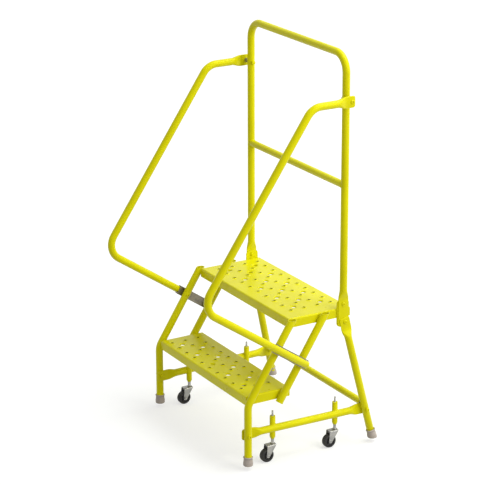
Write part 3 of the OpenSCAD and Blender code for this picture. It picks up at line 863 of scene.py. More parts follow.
@dataclass
class SettingOut:
    """The ladder's main lines, with y = 0 at the front legs until `place` moves a point."""

    rise: float = 0.254
    lift: float = 0.015
    width: float = 0.622
    lower_depth: float = 0.178
    upper_depth: float = 0.254
    run: float = 0.173
    flange: float = 0.033
    tube: float = 0.027
    wall: float = 0.0017
    bend: float = 0.0635
    lean: float = math.radians(32.5)
    rail_inset: float = 0.0065
    rail_gap: float = 0.136
    rail_drop: float = 0.010
    base_length: float = 0.508
    splay: float = 0.036
    base_height: float = 0.113
    brace_rise: float = 0.022
    post_inset: float = 0.032
    guard_height: float = 1.420
    mid_height: float = 0.960
    hand_drop: float = 0.154
    hand_top_length: float = 0.159
    hand_low_height: float = 0.6275
    hand_slope: float = math.radians(55.8)
    plate: float = 0.003
    saddle: float = 0.0025
    shank_tail: float = 0.009

    def __post_init__(self) -> None:
        """Derives the lines that several sub-assemblies share."""
        self.pad = 2 * self.wall
        self.front_y = centre_of("foot_front_right").y
        self.side = self.width / 2
        self.lower_z = self.lift + self.rise
        self.upper_z = self.lift + 2 * self.rise
        self.back = self.run + self.upper_depth
        self.rail_x = self.side + self.tube / 2
        self.bend_z = self.upper_z - (self.run + self.rail_inset) / math.tan(self.lean)
        self.rail_low_z = self.lower_z - self.flange - self.rail_drop
        self.post_x = self.side + self.plate + self.pad / 2
        self.post_y = self.back - self.post_inset
        self.low_bolt_z = self.upper_z - self.flange - 0.018
        self.high_bolt_z = self.upper_z + 0.017
        self.flat_top_z = self.high_bolt_z + 0.014
        self.guard_z = self.lift + self.guard_height
        self.mid_z = self.lift + self.mid_height
        self.leg_top = Vector((self.post_x + self.pad, self.post_y + 0.006, self.low_bolt_z))
        self.leg_foot = Vector((self.side + self.splay, self.base_length, self.lift))
        self.base_z = self.lift + self.base_height
        seat = self.tube / 2 + self.pad / 2 + 0.00002
        self.base_start = Vector((self.rail_x - seat, 0.0, self.base_z))
        self.base_end = self.leg_at(self.base_z) - Vector((seat, 0.0, 0.0))
        self.base_way = (self.base_end - self.base_start).normalized()
        self.inboard = Vector((-self.base_way.y, self.base_way.x, 0.0))
        self.leg_up = (self.leg_top - self.leg_foot).normalized()
        self.base_twist = math.asin(self.leg_up.dot(Vector((self.base_way.y, -self.base_way.x, 0.0))))
        self.brace_z = self.base_z + self.brace_rise
        self.hand_x = self.rail_x + self.tube + self.saddle
        self.hand_z = self.guard_z - self.hand_drop
        drop = self.hand_z - self.lift - self.hand_low_height
        self.grip_length = drop / math.sin(self.hand_slope)
        slope_way = Vector((0.0, -math.cos(self.hand_slope), -math.sin(self.hand_slope)))
        self.hand_top = Vector((self.hand_x, self.post_y, self.hand_z))
        level = Vector((0.0, self.hand_top_length, 0.0))
        self.hand_lower = self.hand_top - level + slope_way * self.grip_length
        self.shank_way = Vector((0.0, math.sin(self.hand_slope), -math.cos(self.hand_slope)))
        self.rail_way = Vector((0.0, math.sin(self.lean), math.cos(self.lean)))
        self.front_reach = self.shank_reach(0.0)
        self.rear_reach = self.shank_reach(self.rail_gap)

    def leg_at(self, height: float) -> Vector:
        """Centre of the right rear leg at a height."""
        share = (height - self.lift) / (self.low_bolt_z - self.lift)
        return self.leg_foot.lerp(self.leg_top, share)

    def rail_y(self, height: float, gap: float = 0.0) -> float:
        """Distance back of a sloped rail's centreline at a height, `gap` behind the front rail."""
        return (height - self.bend_z) * math.tan(self.lean) + gap

    def shank_reach(self, gap: float) -> float:
        """Distance down the handrail's shank to the sloped rail that stands `gap` behind the front one."""
        away = Vector((0.0, gap, self.bend_z)) - self.hand_lower
        cross = self.shank_way.y * self.rail_way.z - self.shank_way.z * self.rail_way.y
        return (away.y * self.rail_way.z - away.z * self.rail_way.y) / cross

    def place(self, point: Vector, side: Side = Side.RIGHT) -> Vector:
        """Moves a point of the right half into the frame, on either side of the ladder."""
        return Vector((side.sign * point.x, point.y + self.front_y, point.z))

    def way(self, direction: Vector, side: Side) -> Vector:
        """Turns a direction of the right half to either side."""
        return Vector((side.sign * direction.x, direction.y, direction.z))


# ---------------------------------------------------------------------------------------------
# Sub-assemblies
# ---------------------------------------------------------------------------------------------


@dataclass
class Coats:
    """Which finish each of the frame's own solids carries."""

    shop: FinishShop
    dull: tuple[str, ...] = ("handrail_saddle_left", "handrail_saddle_right")

    def dress(self) -> None:
        """Finishes every solid by the record's own slot."""
        for part in frame["record"]["subparts"]:
            self.shop.coat_node(part["node"], Slot(part["material_slot"]), part["node"] in self.dull)


@dataclass
class Handrails:
    """The two side handrails, each one bent tube with a pressed top end."""

    plan: SettingOut
    shop: FinishShop

    def build(self) -> None:
        """Draws both handrails."""
        for side in Side:
            self.tube(side)

    def tube(self, side: Side) -> None:
        """Draws one handrail from the post down to its shank's open end."""
        plan = self.plan
        end = FlatEnd(tail=0.012, flat=0.020)
        half, square = plan.bend * math.tan(plan.hand_slope / 2), plan.bend
        runs = [Run(end.tail + plan.hand_top_length - half),
                Run(plan.bend * plan.hand_slope, plan.hand_slope),
                Run(plan.grip_length - half - square),
                Run(plan.bend * math.pi / 2, math.pi / 2),
                Run(plan.rear_reach + plan.shank_tail - square)]
        start = plan.place(plan.hand_top + Vector((0.0, end.tail, 0.0)), side)
        line = Line(start, Vector((0.0, -1.0, 0.0)), Vector((1.0, 0.0, 0.0)), runs)
        tube = Tube(line, first=end, thin=Vector((1.0, 0.0, 0.0)))
        piece = tube.shape().make(f"handrail_tube_{side.value}", FRAME_BODY, f"handrail_{side.value}")
        self.shop.coat(piece, Slot.PAINT)


@dataclass
class GuardFrame:
    """The bent guard tube behind the upper step, with its welded mid rail."""

    plan: SettingOut
    shop: FinishShop

    def build(self) -> None:
        """Draws the guard tube and the mid rail's welds."""
        self.tube()
        self.welds()

    def tube(self) -> None:
        """Draws the guard tube from one pressed foot to the other."""
        plan = self.plan
        flat = plan.flat_top_z - plan.low_bolt_z
        end = FlatEnd(flat=flat)
        rise = plan.guard_z - plan.low_bolt_z + end.tail - plan.bend
        turn = Run(plan.bend * math.pi / 2, -math.pi / 2)
        runs = [Run(rise), turn, Run(2 * (plan.post_x - plan.bend)), Run(turn.length, turn.angle), Run(rise)]
        start = plan.place(Vector((plan.post_x, plan.post_y, plan.low_bolt_z - end.tail)))
        line = Line(start, Vector((0.0, 0.0, 1.0)), Vector((0.0, 1.0, 0.0)), runs)
        tube = Tube(line, first=end, last=end, broad=Vector((0.0, 1.0, 0.0)))
        piece = tube.shape().make("guard_tube", FRAME_BODY, "guard_frame")
        self.shop.coat(piece, Slot.PAINT)

    def welds(self) -> None:
        """Lays the bead round each end of the mid rail."""
        plan, shape = self.plan, Shape()
        for side in Side:
            shape.bead(saddle_line(plan.place(Vector((plan.post_x, plan.post_y, plan.mid_z)), side),
                                   plan.way(Vector((-1.0, 0.0, 0.0)), side), Vector((0.0, 0.0, 1.0)),
                                   plan.tube / 2, 0.013), 0.0019)
        self.shop.coat(shape.make("mid_rail_welds", FRAME_BODY), Slot.PAINT)


def saddle_line(centre: Vector, away: Vector, along: Vector, tube: float, branch: float,
                steps: int = 72) -> list[Vector]:
    """Line round a branch tube where it meets a round tube.

    Args:
        centre: point where the two centrelines meet.
        away: direction of the branch.
        along: direction of the tube that it meets.
        tube: radius of that tube.
        branch: radius of the branch.
        steps: number of points in the turn.

    Returns:
        The line's points, closed.
    """
    across = along.cross(away).normalized()
    out = []
    for i in range(steps + 1):
        angle = math.tau * i / steps
        side, up = branch * math.cos(angle), branch * math.sin(angle)
        out.append(centre + across * side + along * up + away * math.sqrt(max(0.0, tube ** 2 - side ** 2)))
    return out


@dataclass
class RearLegs:
    """The splayed rear legs, pressed flat where they bolt to the posts' feet."""

    plan: SettingOut
    shop: FinishShop

    def build(self) -> None:
        """Draws both legs."""
        for side in Side:
            self.leg(side)

    def leg(self, side: Side) -> None:
        """Draws one leg from its flat head down into its rubber foot."""
        plan = self.plan
        end = FlatEnd(flat=0.024)
        top, foot = plan.leg_top, plan.leg_foot
        level = Vector((0.0, foot.y - top.y, foot.z - top.z)).normalized()
        leg_way = (foot - top).normalized()
        angle = level.angle(leg_way)
        axis = level.cross(leg_way).normalized()
        total = (foot - top).length - 0.007
        mid = end.flat + end.taper / 2
        kink = 0.024
        runs = [Run(end.tail + mid - 0.5 * kink), Run(kink, side.sign * angle), Run(total - mid - 0.5 * kink)]
        start = plan.place(top - level * end.tail, side)
        axis = Vector((0.0, axis.y, axis.z)).normalized()
        line = Line(start, level, axis, runs)
        tube = Tube(line, first=end, broad=axis)
        piece = tube.shape().make(f"rear_leg_tube_{side.value}", FRAME_BODY, f"rear_leg_{side.value}")
        self.shop.coat(piece, Slot.PAINT)


@dataclass
class Base:
    """The base tubes between the legs, the cross brace's welds and the housings' welds."""

    plan: SettingOut
    shop: FinishShop
    offset: float = 0.011
    collar: float = 0.0107
    brace_collar: float = 0.0134
    bead: float = 0.0016

    def build(self) -> None:
        """Draws both base tubes and lays the welds on them."""
        for side in Side:
            self.tube(side)
            self.welds(side)

    def tube(self, side: Side) -> None:
        """Draws one base tube with both ends pressed flat."""
        plan = self.plan
        end = FlatEnd()
        length = (plan.base_end - plan.base_start).length
        start = plan.place(plan.base_start - plan.base_way * end.tail, side)
        up = Vector((0.0, 0.0, 1.0))
        line = Line(start, plan.way(plan.base_way, side), up, [Run(length + 2 * end.tail)])
        tube = Tube(line, first=end, last=end, broad=up, twist=side.sign * plan.base_twist)
        piece = tube.shape().make(f"base_tube_drawn_{side.value}", FRAME_BODY, f"base_tube_{side.value}")
        self.shop.coat(piece, Slot.PAINT)

    def welds(self, side: Side) -> None:
        """Lays the beads where the housings pass the tube and where the brace butts against it."""
        plan, shape = self.plan, Shape()
        way, inboard = plan.way(plan.base_way, side), plan.way(plan.inboard, side)
        for corner in Corner:
            if corner.side is not side:
                continue
            axis = centre_of(f"caster_housing_{corner.value}")
            for up in (1, -1):
                line = []
                for i in range(25):
                    angle = math.pi * (i / 24 - 0.5)
                    out, along = self.collar * math.cos(angle), self.collar * math.sin(angle)
                    local = -inboard * out + way * along
                    lateral = self.offset - out
                    height = math.sqrt(max(1e-6, (plan.tube / 2) ** 2 - lateral ** 2))
                    line.append(Vector((axis.x + local.x, axis.y + local.y, plan.base_z + up * height)))
                shape.bead(line, self.bead)
        brace_y = plan.leg_at(plan.brace_z).y
        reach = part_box("cross_brace")[1].x - 0.0006
        ring = []
        for i in range(33):
            angle = math.radians(200.0) + math.radians(320.0) * i / 32
            across, up = self.brace_collar * math.cos(angle), self.brace_collar * math.sin(angle)
            ring.append(plan.place(Vector((reach, brace_y + across, plan.brace_z + up)), side))
        shape.bead(ring, self.bead)
        self.shop.coat(shape.make(f"base_welds_{side.value}", FRAME_BODY), Slot.PAINT)


@dataclass
class Steps:
    """The two perforated steps: eased buttons, drain lips and the rails' welds."""

    plan: SettingOut
    shop: FinishShop
    columns: int = 10
    pitch_x: float = 0.056
    pitch_y: float = 0.055
    shift: float = 0.012
    hole: float = 0.0085
    button: float = 0.002
    drain: float = 0.018
    drain_depth: float = 0.0055

    def build(self) -> None:
        """Presses the buttons and drains of both steps and lays the welds."""
        plan = self.plan
        self.tread("lower", plan.lower_depth - 0.045, plan.lower_z, 3, 1)
        self.tread("upper", plan.run + plan.upper_depth - 0.036, plan.upper_z, 4, 0)
        for side in Side:
            self.welds(side)

    def tread(self, name: str, back_row: float, height: float, rows: int, first_cell: int) -> None:
        """Presses one step's pattern.

        Args:
            name: which step.
            back_row: distance back of its last row of buttons.
            height: height of its tread.
            rows: number of rows.
            first_cell: first cell of the last row that holds a drain.
        """
        shape, edges, plan = Shape(), Shape(), self.plan
        left = -(self.columns - 1) * self.pitch_x / 2 - self.shift
        for j in range(rows):
            for i in range(self.columns):
                spot = Vector((left + i * self.pitch_x, back_row - j * self.pitch_y, height))
                self.press_button(shape, edges, plan.place(spot))
            if j < rows - 1:
                for i in range((first_cell + j) % 2, self.columns - 1, 2):
                    x, y = left + (i + 0.5) * self.pitch_x, back_row - (j + 0.5) * self.pitch_y
                    self.press_drain(shape, plan.place(Vector((x, y, height))))
        self.shop.coat(shape.make(f"{name}_tread_pressings", FRAME_BODY, crease=60.0), Slot.PAINT)
        # The hole lips and walls carry the dark olive paint: painted shade inside the holes.
        rims = edges.make(f"{name}_tread_hole_shade_walls", FRAME_BODY, crease=60.0)
        self.shop.coat(rims, Slot.PAINT, self.shop.hole_shade_paint)

    def press_button(self, shape: Shape, edges: Shape, spot: Vector) -> None:
        """Raises one button with a rolled lip round its hole."""
        base, top, hole = self.hole / 2 + 0.0062, self.hole / 2 + 0.0016, self.hole / 2
        profile = [(base + 0.0012, -0.0003)]
        for i in range(9):
            share = i / 8
            profile.append((base + (top - base) * share, 0.00008 + (self.button + 0.0001) * smooth(share)))
        # The lip and hole wall go into `edges`, which gets the dark olive paint: painted shade inside the
        # hole.
        inner = [(top + 0.0001, self.button + 0.00021)]
        for i in range(1, 6):
            angle = math.pi / 2 * i / 5
            inner.append((hole - 0.0002 + 0.0018 * (1 - math.sin(angle)),
                          self.button + 0.0002 - 0.0014 * (1 - math.cos(angle))))
        inner.append((hole - 0.0002, -0.0045))
        shape.turned(profile, Matrix.Translation(spot), 20, False, False)
        edges.turned(inner, Matrix.Translation(spot), 20, False, False)

    def press_drain(self, shape: Shape, spot: Vector) -> None:
        """Sinks one drain hole with a rounded funnel and a thin edge underneath."""
        hole = self.drain / 2
        profile = [(hole + 0.0062, -0.0002), (hole + 0.0056, 0.00015)]
        for i in range(8):
            share = i / 7
            profile.append((hole + 0.0052 - 0.0054 * math.sin(share * math.pi / 2),
                            0.00018 - (self.drain_depth - 0.0012) * (1 - math.cos(share * math.pi / 2))))
        profile += [(hole - 0.0002, -self.drain_depth), (hole + 0.0008, -self.drain_depth - 0.0003)]
        shape.turned(profile, Matrix.Translation(spot), 28, False, False)

    def welds(self, side: Side) -> None:
        """Lays the beads that hold each step's side flange to the sloped rails."""
        plan, shape = self.plan, Shape()
        spread, off = 0.0082, 0.0014
        for gap in (0.0, plan.rail_gap):
            for top in (plan.lower_z, plan.upper_z):
                low = top - plan.flange
                if gap and top == plan.lower_z:
                    low = max(low, plan.rail_low_z + 0.012)
                across = Vector((0.0, plan.rail_way.z, -plan.rail_way.y))
                for turn in (1, -1):
                    ends = []
                    for height in (low + 0.003, top - 0.007):
                        centre = Vector((plan.side + off, plan.rail_y(height, gap), height))
                        ends.append(centre + across * (turn * spread))
                    depth = plan.lower_depth if top == plan.lower_z else plan.upper_depth
                    front = 0.0 if top == plan.lower_z else plan.run
                    if all(front + 0.004 < end.y < front + depth - 0.003 for end in ends):
                        shape.bead([plan.place(p, side) for p in between(ends[0], ends[1], 0.0006)], 0.0021)
        self.shop.coat(shape.make(f"step_welds_{side.value}", FRAME_BODY), Slot.PAINT)


@dataclass
class Bolt:
    """Domed socket bolt with an optional washer and nut."""

    size: float = 0.008
    grip: float = 0.01
    tail: float = 0.0072
    nut: bool = True

    def add(self, shape: Shape, head: Vector, way: Vector) -> None:
        """Adds the bolt to a shape.

        Args:
            shape: shape to add to.
            head: middle of the head's underside.
            way: direction from the head towards the nut.
        """
        place = axes(head, way, Vector((0.2, 0.3, 0.9)))
        radius, rise = 0.95 * self.size, 0.45 * self.size
        socket = hex_radius(0.6 * self.size)
        profile: list[tuple[float | Callable[[float], float], float]] = [
            (socket, -0.15 * self.size), (socket, -rise + 0.0003)]
        for i in range(8):
            angle = math.pi / 2 * i / 7
            reach = 0.42 * self.size + (radius - 0.42 * self.size) * math.sin(angle)
            profile.append((reach, -rise + (rise - 0.0006) * (1 - math.cos(angle))))
        profile += [(radius, -0.0003), (radius - 0.0003, 0.0)]
        shape.turned(profile, place, 36)
        shape.turned([(self.size / 2, 0.0), (self.size / 2, self.grip)], place, 20, False, False)
        shape.turned(self.thread(), place, 20, False, True)
        if self.nut:
            across, low = 1.62 * self.size, self.grip
            shape.turned([(self.size, low), (self.size, low + 0.0011)], place, 30)
            full, cut = hex_radius(across), hex_radius(across, 0.9)
            top = low + 0.8 * self.size
            shape.turned([(cut, low + 0.0011), (full, low + 0.0018), (full, top - 0.08 * self.size),
                          (cut, top)], place, 36)

    def thread(self) -> list[tuple[float, float]]:
        """Profile of the threaded tail."""
        out, height, end = [], self.grip, self.grip + self.tail
        while height < end - 0.0012:
            out += [(self.size / 2, height), (self.size / 2 - 0.0006, height + 0.0006)]
            height += 0.0012
        out += [(self.size / 2 - 0.0004, end - 0.0008), (self.size / 2 - 0.0011, end)]
        return out


@dataclass
class Fasteners:
    """All bolts of the rigid frame."""

    plan: SettingOut
    shop: FinishShop

    def build(self) -> None:
        """Fits the handrails', saddles', posts' and base tubes' bolts."""
        self.handrail_bolts()
        self.saddle_bolts()
        self.post_bolts()
        self.base_bolts()

    def fit(self, shape: Shape, bolt: Bolt, head: Vector, way: Vector) -> None:
        """Puts the same bolt on both sides."""
        for side in Side:
            bolt.add(shape, self.plan.place(head, side), self.plan.way(way, side))

    def handrail_bolts(self) -> None:
        """Bolts from the handrail's flat end through the spacer and the post."""
        plan, shape = self.plan, Shape()
        head = plan.hand_x + plan.pad / 2
        bolt = Bolt(grip=head - plan.post_x + plan.tube / 2)
        self.fit(shape, bolt, Vector((head, plan.post_y, plan.hand_z)), Vector((-1.0, 0.0, 0.0)))
        self.shop.coat(shape.make("handrail_bolt_set", FRAME_BODY, "handrail_bolts"), Slot.PAINT)

    def saddle_bolts(self) -> None:
        """Bolts from inboard through the rails and the saddles into the handrails."""
        plan, shape = self.plan, Shape()
        bolt = Bolt(grip=plan.tube + plan.saddle, tail=plan.wall + 0.004, nut=False)
        for reach in (plan.front_reach, plan.rear_reach):
            seat = plan.hand_lower + plan.shank_way * reach
            self.fit(shape, bolt, Vector((plan.side, seat.y, seat.z)), Vector((1.0, 0.0, 0.0)))
        self.shop.coat(shape.make("saddle_bolt_set", FRAME_BODY, "saddle_bolts"), Slot.PAINT)

    def post_bolts(self) -> None:
        """Bolts where post, rear leg and upper step meet."""
        plan, shape = self.plan, Shape()
        outer = plan.post_x + plan.pad / 2
        low = Vector((outer + plan.pad, plan.post_y + 0.006, plan.low_bolt_z))
        self.fit(shape, Bolt(grip=low.x - plan.side), low, Vector((-1.0, 0.0, 0.0)))
        high = Vector((outer, plan.post_y, plan.high_bolt_z))
        self.fit(shape, Bolt(grip=outer - plan.side), high, Vector((-1.0, 0.0, 0.0)))
        self.shop.coat(shape.make("post_bolt_set", FRAME_BODY, "post_bolts"), Slot.PAINT)

    def base_bolts(self) -> None:
        """Bolts from outboard through the legs and the base tubes' flat ends."""
        plan, shape = self.plan, Shape()
        grip = plan.tube + plan.pad + 0.00002
        for spot, turn in ((plan.base_start, 0.0), (plan.base_end, plan.base_twist)):
            across = Matrix.Rotation(turn, 3, plan.base_way) @ plan.inboard
            self.fit(shape, Bolt(grip=grip), spot + across * (plan.pad / 2 - grip), across)
        self.shop.coat(shape.make("base_bolt_set", FRAME_BODY, "base_bolts"), Slot.PAINT)


@dataclass
class Feet:
    """Four moulded rubber feet with a rolled top lip and level soles."""

    plan: SettingOut
    shop: FinishShop
    radius: float = 0.0175
    height: float = 0.034

    def build(self) -> None:
        """Moulds the feet."""
        plan = self.plan
        for corner in Corner:
            if corner in (Corner.FRONT_LEFT, Corner.FRONT_RIGHT):
                foot, up = Vector((plan.rail_x, 0.0, plan.lift)), Vector((0.0, 0.0, 1.0))
            else:
                foot, up = plan.leg_foot, (plan.leg_top - plan.leg_foot).normalized()
            self.mould(corner, plan.place(foot, corner.side), plan.way(up, corner.side))

    def mould(self, corner: Corner, sole: Vector, up: Vector) -> None:
        """Moulds one foot.

        Args:
            corner: which foot.
            sole: middle of its sole.
            up: direction of its leg.
        """
        r, h, bore = self.radius, self.height, self.plan.tube / 2
        profile = [(0.001, 0.0), (r - 0.006, 0.0), (r - 0.0025, 0.0), (r - 0.0008, 0.0010),
                   (r - 0.0001, 0.0028),
                   (r - 0.0001, 0.0045), (r - 0.0007, 0.0052), (r - 0.0007, 0.0058), (r - 0.0001, 0.0065),
                   (r - 0.0001, 0.0085), (r - 0.0007, 0.0092), (r - 0.0007, 0.0098), (r - 0.0001, 0.0105),
                   (r - 0.0001, 0.0125), (r - 0.0009, 0.0150), (r - 0.0016, 0.0220), (r - 0.0019, h - 0.0058),
                   (r - 0.0007, h - 0.0046), (r - 0.0001, h - 0.0034), (r - 0.0001, h - 0.0016),
                   (r - 0.0008, h - 0.0004),
                   (r - 0.0018, h), (bore + 0.0008, h), (bore + 0.0002, h - 0.0006),
                   (bore + 0.0001, h - 0.012)]
        shape = Shape()
        shape.turned(profile, axes(sole, up, Vector((1.0, 0.0, 0.0))), 40, True, False)
        level = self.plan.lift
        slant = math.sqrt(max(0.0, 1 - up.normalized().z ** 2)) * r
        for i, point in enumerate(shape.points):
            if slant > 1e-4 and (point - sole).dot(up) < 0.012:
                depth = (point - sole).dot(up)
                target = point - up * (1 - depth / 0.012) * ((point.z - depth * up.z - level) / up.z)
                point = target
            point.z = max(point.z, level)
            shape.points[i] = point
        piece = shape.make(f"rubber_foot_{corner.value}", FRAME_BODY, f"foot_{corner.value}", crease=50.0)
        self.shop.coat(piece, Slot.FOOT)


@dataclass
class Caster:
    """One spring-loaded swivel caster."""

    corner: Corner
    plan: SettingOut
    shop: FinishShop
    trail: float = 0.024
    wheel: float = 0.025
    width: float = 0.020
    fork_top: float = 0.065
    fork_sheet: float = 0.0022
    fork_half: float = 0.0135
    housing: float = 0.01025
    housing_low: float = 0.084
    housing_high: float = 0.171
    stem: float = 0.0055

    def build(self) -> None:
        """Builds the housing, stem, fork, wheel, tyre and axle."""
        middle = centre_of(f"caster_stem_{self.corner.value}")
        self.swivel = Vector((middle.x, middle.y, 0.0))
        self.hub = self.swivel + Vector((0.0, -self.trail, self.wheel))
        self.make_housing()
        self.make_stem()
        self.make_spring()
        self.make_fork()
        self.make_tyre()
        self.make_hub()
        self.make_axle()

    def fit(self, shape: Shape, piece: str, body: str, node: str, slot: Slot, crease: float = 38.0) -> None:
        """Makes one piece of this corner and finishes it.

        Args:
            shape: its mesh.
            piece: its name without the corner.
            body: body that carries it, without the corner where it belongs to the caster.
            node: solid that it replaces, without the corner.
            slot: its material slot.
            crease: angle in degrees above which an edge stays sharp.
        """
        corner = self.corner.value
        owner = body if body == FRAME_BODY else f"{body}_{corner}"
        self.shop.coat(shape.make(f"{piece}_{corner}", owner, f"{node}_{corner}", crease=crease), slot)

    def make_housing(self) -> None:
        """Turns the painted spring housing with its necked end and rolled cap."""
        r, low, high = self.housing, self.housing_low, self.housing_high
        neck = [(0.0001, 0.006), (0.0001, 0.0004), (0.0006, 0.0), (0.0012, 0.0), (0.0017, 0.0006),
                (0.0022, 0.002)]
        profile = [(self.stem + across, low + height) for across, height in neck]
        for i in range(1, 7):
            share, start = i / 6, self.stem + 0.0022
            profile.append((start + (r - start) * smooth(share), low + 0.002 + 0.0055 * share))
        profile += [(r, low + 0.011), (r, high - 0.0065), (r - 0.0007, high - 0.0058),
                    (r - 0.0007, high - 0.0048),
                    (r, high - 0.0041), (r, high - 0.0016)]
        for i in range(1, 6):
            angle = math.pi / 2 * i / 5
            profile.append((r - 0.0016 * (1 - math.cos(angle)), high - 0.0016 * (1 - math.sin(angle))))
        profile += [(0.0048, high), (0.0043, high - 0.0005), (0.0042, high - 0.004)]
        shape = Shape()
        shape.turned(profile, Matrix.Translation(self.swivel), 36, False, True)
        self.fit(shape, "spring_housing", FRAME_BODY, "caster_housing", Slot.PAINT, 50.0)

    def make_stem(self) -> None:
        """Turns the plated stem with its guide pin, race and kingpin."""
        low, high, pin = self.fork_top, self.housing_high + 0.020, 0.0035
        low_z = self.fork_top - self.fork_sheet - 0.0023
        profile = [(0.0030, low_z), (0.0066, low_z + 0.0001), (0.0070, low_z + 0.0007),
                   (0.0069, low_z + 0.0016),
                   (0.0040, low_z + 0.0019), (0.0040, low + 0.0003), (0.0086, low + 0.0003),
                   (0.0090, low + 0.0008),
                   (0.0089, low + 0.0016), (0.0080, low + 0.0021), (0.0062, low + 0.0026),
                   (self.stem, low + 0.0034),
                   (self.stem, self.housing_low + 0.009), (pin, self.housing_low + 0.010),
                   (pin, high - 0.0065),
                   (pin - 0.0005, high - 0.0060), (pin - 0.0005, high - 0.0050), (pin, high - 0.0045),
                   (pin, high - 0.0022), (pin - 0.0006, high - 0.0008), (pin - 0.0016, high - 0.0001),
                   (0.0006, high)]
        shape = Shape()
        shape.turned(profile, Matrix.Translation(self.swivel), 28)
        self.fit(shape, "plated_stem", "stem", "caster_stem", Slot.ZINC, 50.0)

    def make_spring(self) -> None:
        """Winds the hidden coil round the stem, standing still in the housing."""
        low, high, mean, wire = self.housing_low + 0.013, self.housing_high - 0.005, 0.0073, 0.0011
        rows, turns, steps = [], 9, 20
        for i in range(turns * steps + 1):
            angle = math.tau * i / steps
            middle = self.swivel + Vector((mean * math.cos(angle), mean * math.sin(angle),
                                           low + (high - low) * i / (turns * steps)))
            place = axes(middle, Vector((-math.sin(angle), math.cos(angle), 0.0)), Vector((0.0, 0.0, 1.0)))
            rows.append([place @ Vector((wire * math.cos(a), wire * math.sin(a), 0.0))
                         for a in (math.tau * k / 8 for k in range(8))])
        shape = Shape()
        shape.rings(rows)
        self.fit(shape, "coil_spring", FRAME_BODY, "caster_spring", Slot.SPRING, 50.0)

    def fork_reach(self, height: float) -> tuple[float, float]:
        """Front and back edge of the fork's side at a height, from the swivel axis."""
        end, top = 0.007, self.fork_top - self.fork_sheet
        low = height - self.wheel
        out = []
        for edge, turn in ((-self.trail - 0.003, -1), (0.009, 1)):
            away = Vector((edge + self.trail, top - self.wheel))
            angle = math.atan2(away.y, away.x) - turn * math.acos(end / away.length)
            touch = Vector((end * math.cos(angle), end * math.sin(angle)))
            if low <= touch.y:
                across = turn * math.sqrt(max(0.0, end ** 2 - min(low * low, end * end)))
            else:
                share = min(1.0, (low - touch.y) / (top - self.wheel - touch.y))
                across = touch.x + (away.x - touch.x) * share
            out.append(across - self.trail)
        return out[0], out[1]

    def make_fork(self) -> None:
        """Bends the fork from one sheet, with round shoulders and eased edges."""
        half, thick, top, soft = self.fork_half, self.fork_sheet, self.fork_top, 0.004
        spine: list[tuple[float, float, float]] = []
        end = self.wheel - 0.007
        heights = [end + 0.007 * (1 - math.cos(math.pi / 2 * i / 8)) for i in range(9)]
        heights += [end + 0.007 + (top - soft - end - 0.007) * i / 8 for i in range(1, 9)]
        for height in heights:
            spine.append((half, height, 0.0))
        for i in range(1, 6):
            angle = math.pi / 2 * i / 5
            spine.append((half - soft * (1 - math.cos(angle)), top - soft * (1 - math.sin(angle)), angle))
        spine += [(half * share, top, math.pi / 2) for share in (0.45, 0.15)]
        spine = spine + [(-x, z, math.pi - a) for x, z, a in reversed(spine)]
        shape, rows, cells = Shape(), [], 8
        for x, z, angle in spine:
            normal = Vector((math.cos(angle), 0.0, math.sin(angle)))
            front, back = self.fork_reach(z)
            back = max(back, front + 0.0004)
            ring = []
            for outer in (True, False):
                for step in range(cells + 1):
                    share = step / cells if outer else 1 - step / cells
                    y = front + (back - front) * share
                    edge = min(share, 1 - share) * (back - front)
                    ease = 0.0004 * (1 - smooth(edge / 0.0008))
                    inset = ease if outer else thick - ease
                    point = Vector((x, y, z)) - normal * inset
                    ring.append(self.swivel + point)
            rows.append(ring)
        shape.rings(rows)
        dome = [(0.0105, top - 0.0002), (0.0100, top + 0.00015), (0.0088, top + 0.0002)]
        shape.turned(dome, Matrix.Translation(self.swivel), 28, False, False)
        self.fit(shape, "pressed_fork", "fork", "caster_fork", Slot.ZINC)

    def wheel_place(self) -> Matrix:
        """Axes at the wheel's middle, with z along the axle."""
        return axes(self.hub, Vector((1.0, 0.0, 0.0)), Vector((0.0, 1.0, 0.0)))

    def make_tyre(self) -> None:
        """Moulds the tyre with a crowned tread and side grooves."""
        half, r = self.width / 2, self.wheel
        edge: list[tuple[float, float]] = [(0.0162, half - 0.0012), (0.0168, half), (0.0182, half),
                                           (0.0186, half - 0.0005),
                                           (0.0192, half - 0.0005), (0.0196, half)]
        for i in range(9):
            angle = math.pi / 2 * i / 8
            edge.append((r - 0.0038 + 0.0036 * math.sin(angle), half - 0.0036 * (1 - math.cos(angle))))
        edge.append((r, half * 0.35))
        profile = edge + [(radius, -height) for radius, height in reversed(edge)]
        shape = Shape()
        shape.turned(profile, self.wheel_place(), 56, False, False)
        self.fit(shape, "moulded_tyre", "wheel", "caster_tyre", Slot.TYRE, 50.0)

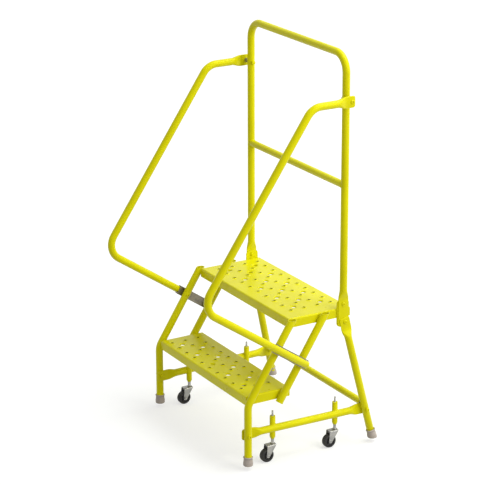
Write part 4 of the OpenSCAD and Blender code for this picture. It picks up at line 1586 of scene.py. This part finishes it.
    def make_hub(self) -> None:
        """Moulds the hub: rim, web, boss and five ribs on each face."""
        half, place, shape = self.width / 2, self.wheel_place(), Shape()
        boss = self.fork_half - self.fork_sheet - 0.0004
        edge = [(0.0033, boss - 0.0004), (0.0037, boss), (0.0062, boss), (0.0070, boss - 0.0008),
                (0.0076, 0.0052),
                (0.0084, 0.0042), (0.0135, 0.0040), (0.0143, 0.0046), (0.0146, half - 0.0014),
                (0.0151, half - 0.0008),
                (0.0160, half - 0.0010), (0.0163, half - 0.0016)]
        profile = edge + [(radius, -height) for radius, height in reversed(edge)]
        shape.turned(profile, place, 56, False, False)
        for face in (1, -1):
            for k in range(5):
                spin = place @ Matrix.Rotation(math.tau * k / 5 + 0.3, 4, "Z")
                rows = []
                for i in range(6):
                    x = 0.0066 + (0.0147 - 0.0066) * i / 5
                    wide, high = 0.0011 + 0.0004 * abs(i - 2.5) / 2.5, 0.0078
                    rows.append([spin @ Vector((x, y, face * z)) for y, z in
                                 ((-wide, 0.0035), (-wide * 0.85, high - 0.0006), (-wide * 0.5, high),
                                  (wide * 0.5, high), (wide * 0.85, high - 0.0006), (wide, 0.0035))])
                shape.rings(rows)
        self.fit(shape, "moulded_hub", "wheel", "caster_hub", Slot.WHEEL, 45.0)

    def make_axle(self) -> None:
        """Fits the axle bolt and its nut through the fork."""
        shape = Shape()
        side = self.corner.side.sign
        bolt = Bolt(size=0.006, grip=2 * self.fork_half, tail=0.0066)
        bolt.add(shape, self.hub + Vector((side * self.fork_half, 0.0, 0.0)), Vector((-side, 0.0, 0.0)))
        self.fit(shape, "axle_bolt", "fork", "caster_axle", Slot.ZINC)


def main() -> None:
    """Builds the studio and dresses the ladder, sub-assembly by sub-assembly."""
    logging.basicConfig(level=logging.INFO, format="%(message)s")
    Studio().build()
    shop, plan = FinishShop(), SettingOut()
    Coats(shop).dress()
    Handrails(plan, shop).build()
    GuardFrame(plan, shop).build()
    RearLegs(plan, shop).build()
    Base(plan, shop).build()
    Steps(plan, shop).build()
    Fasteners(plan, shop).build()
    Feet(plan, shop).build()
    for corner in Corner:
        Caster(corner, plan, shop).build()


if __name__ == "__main__":
    main()
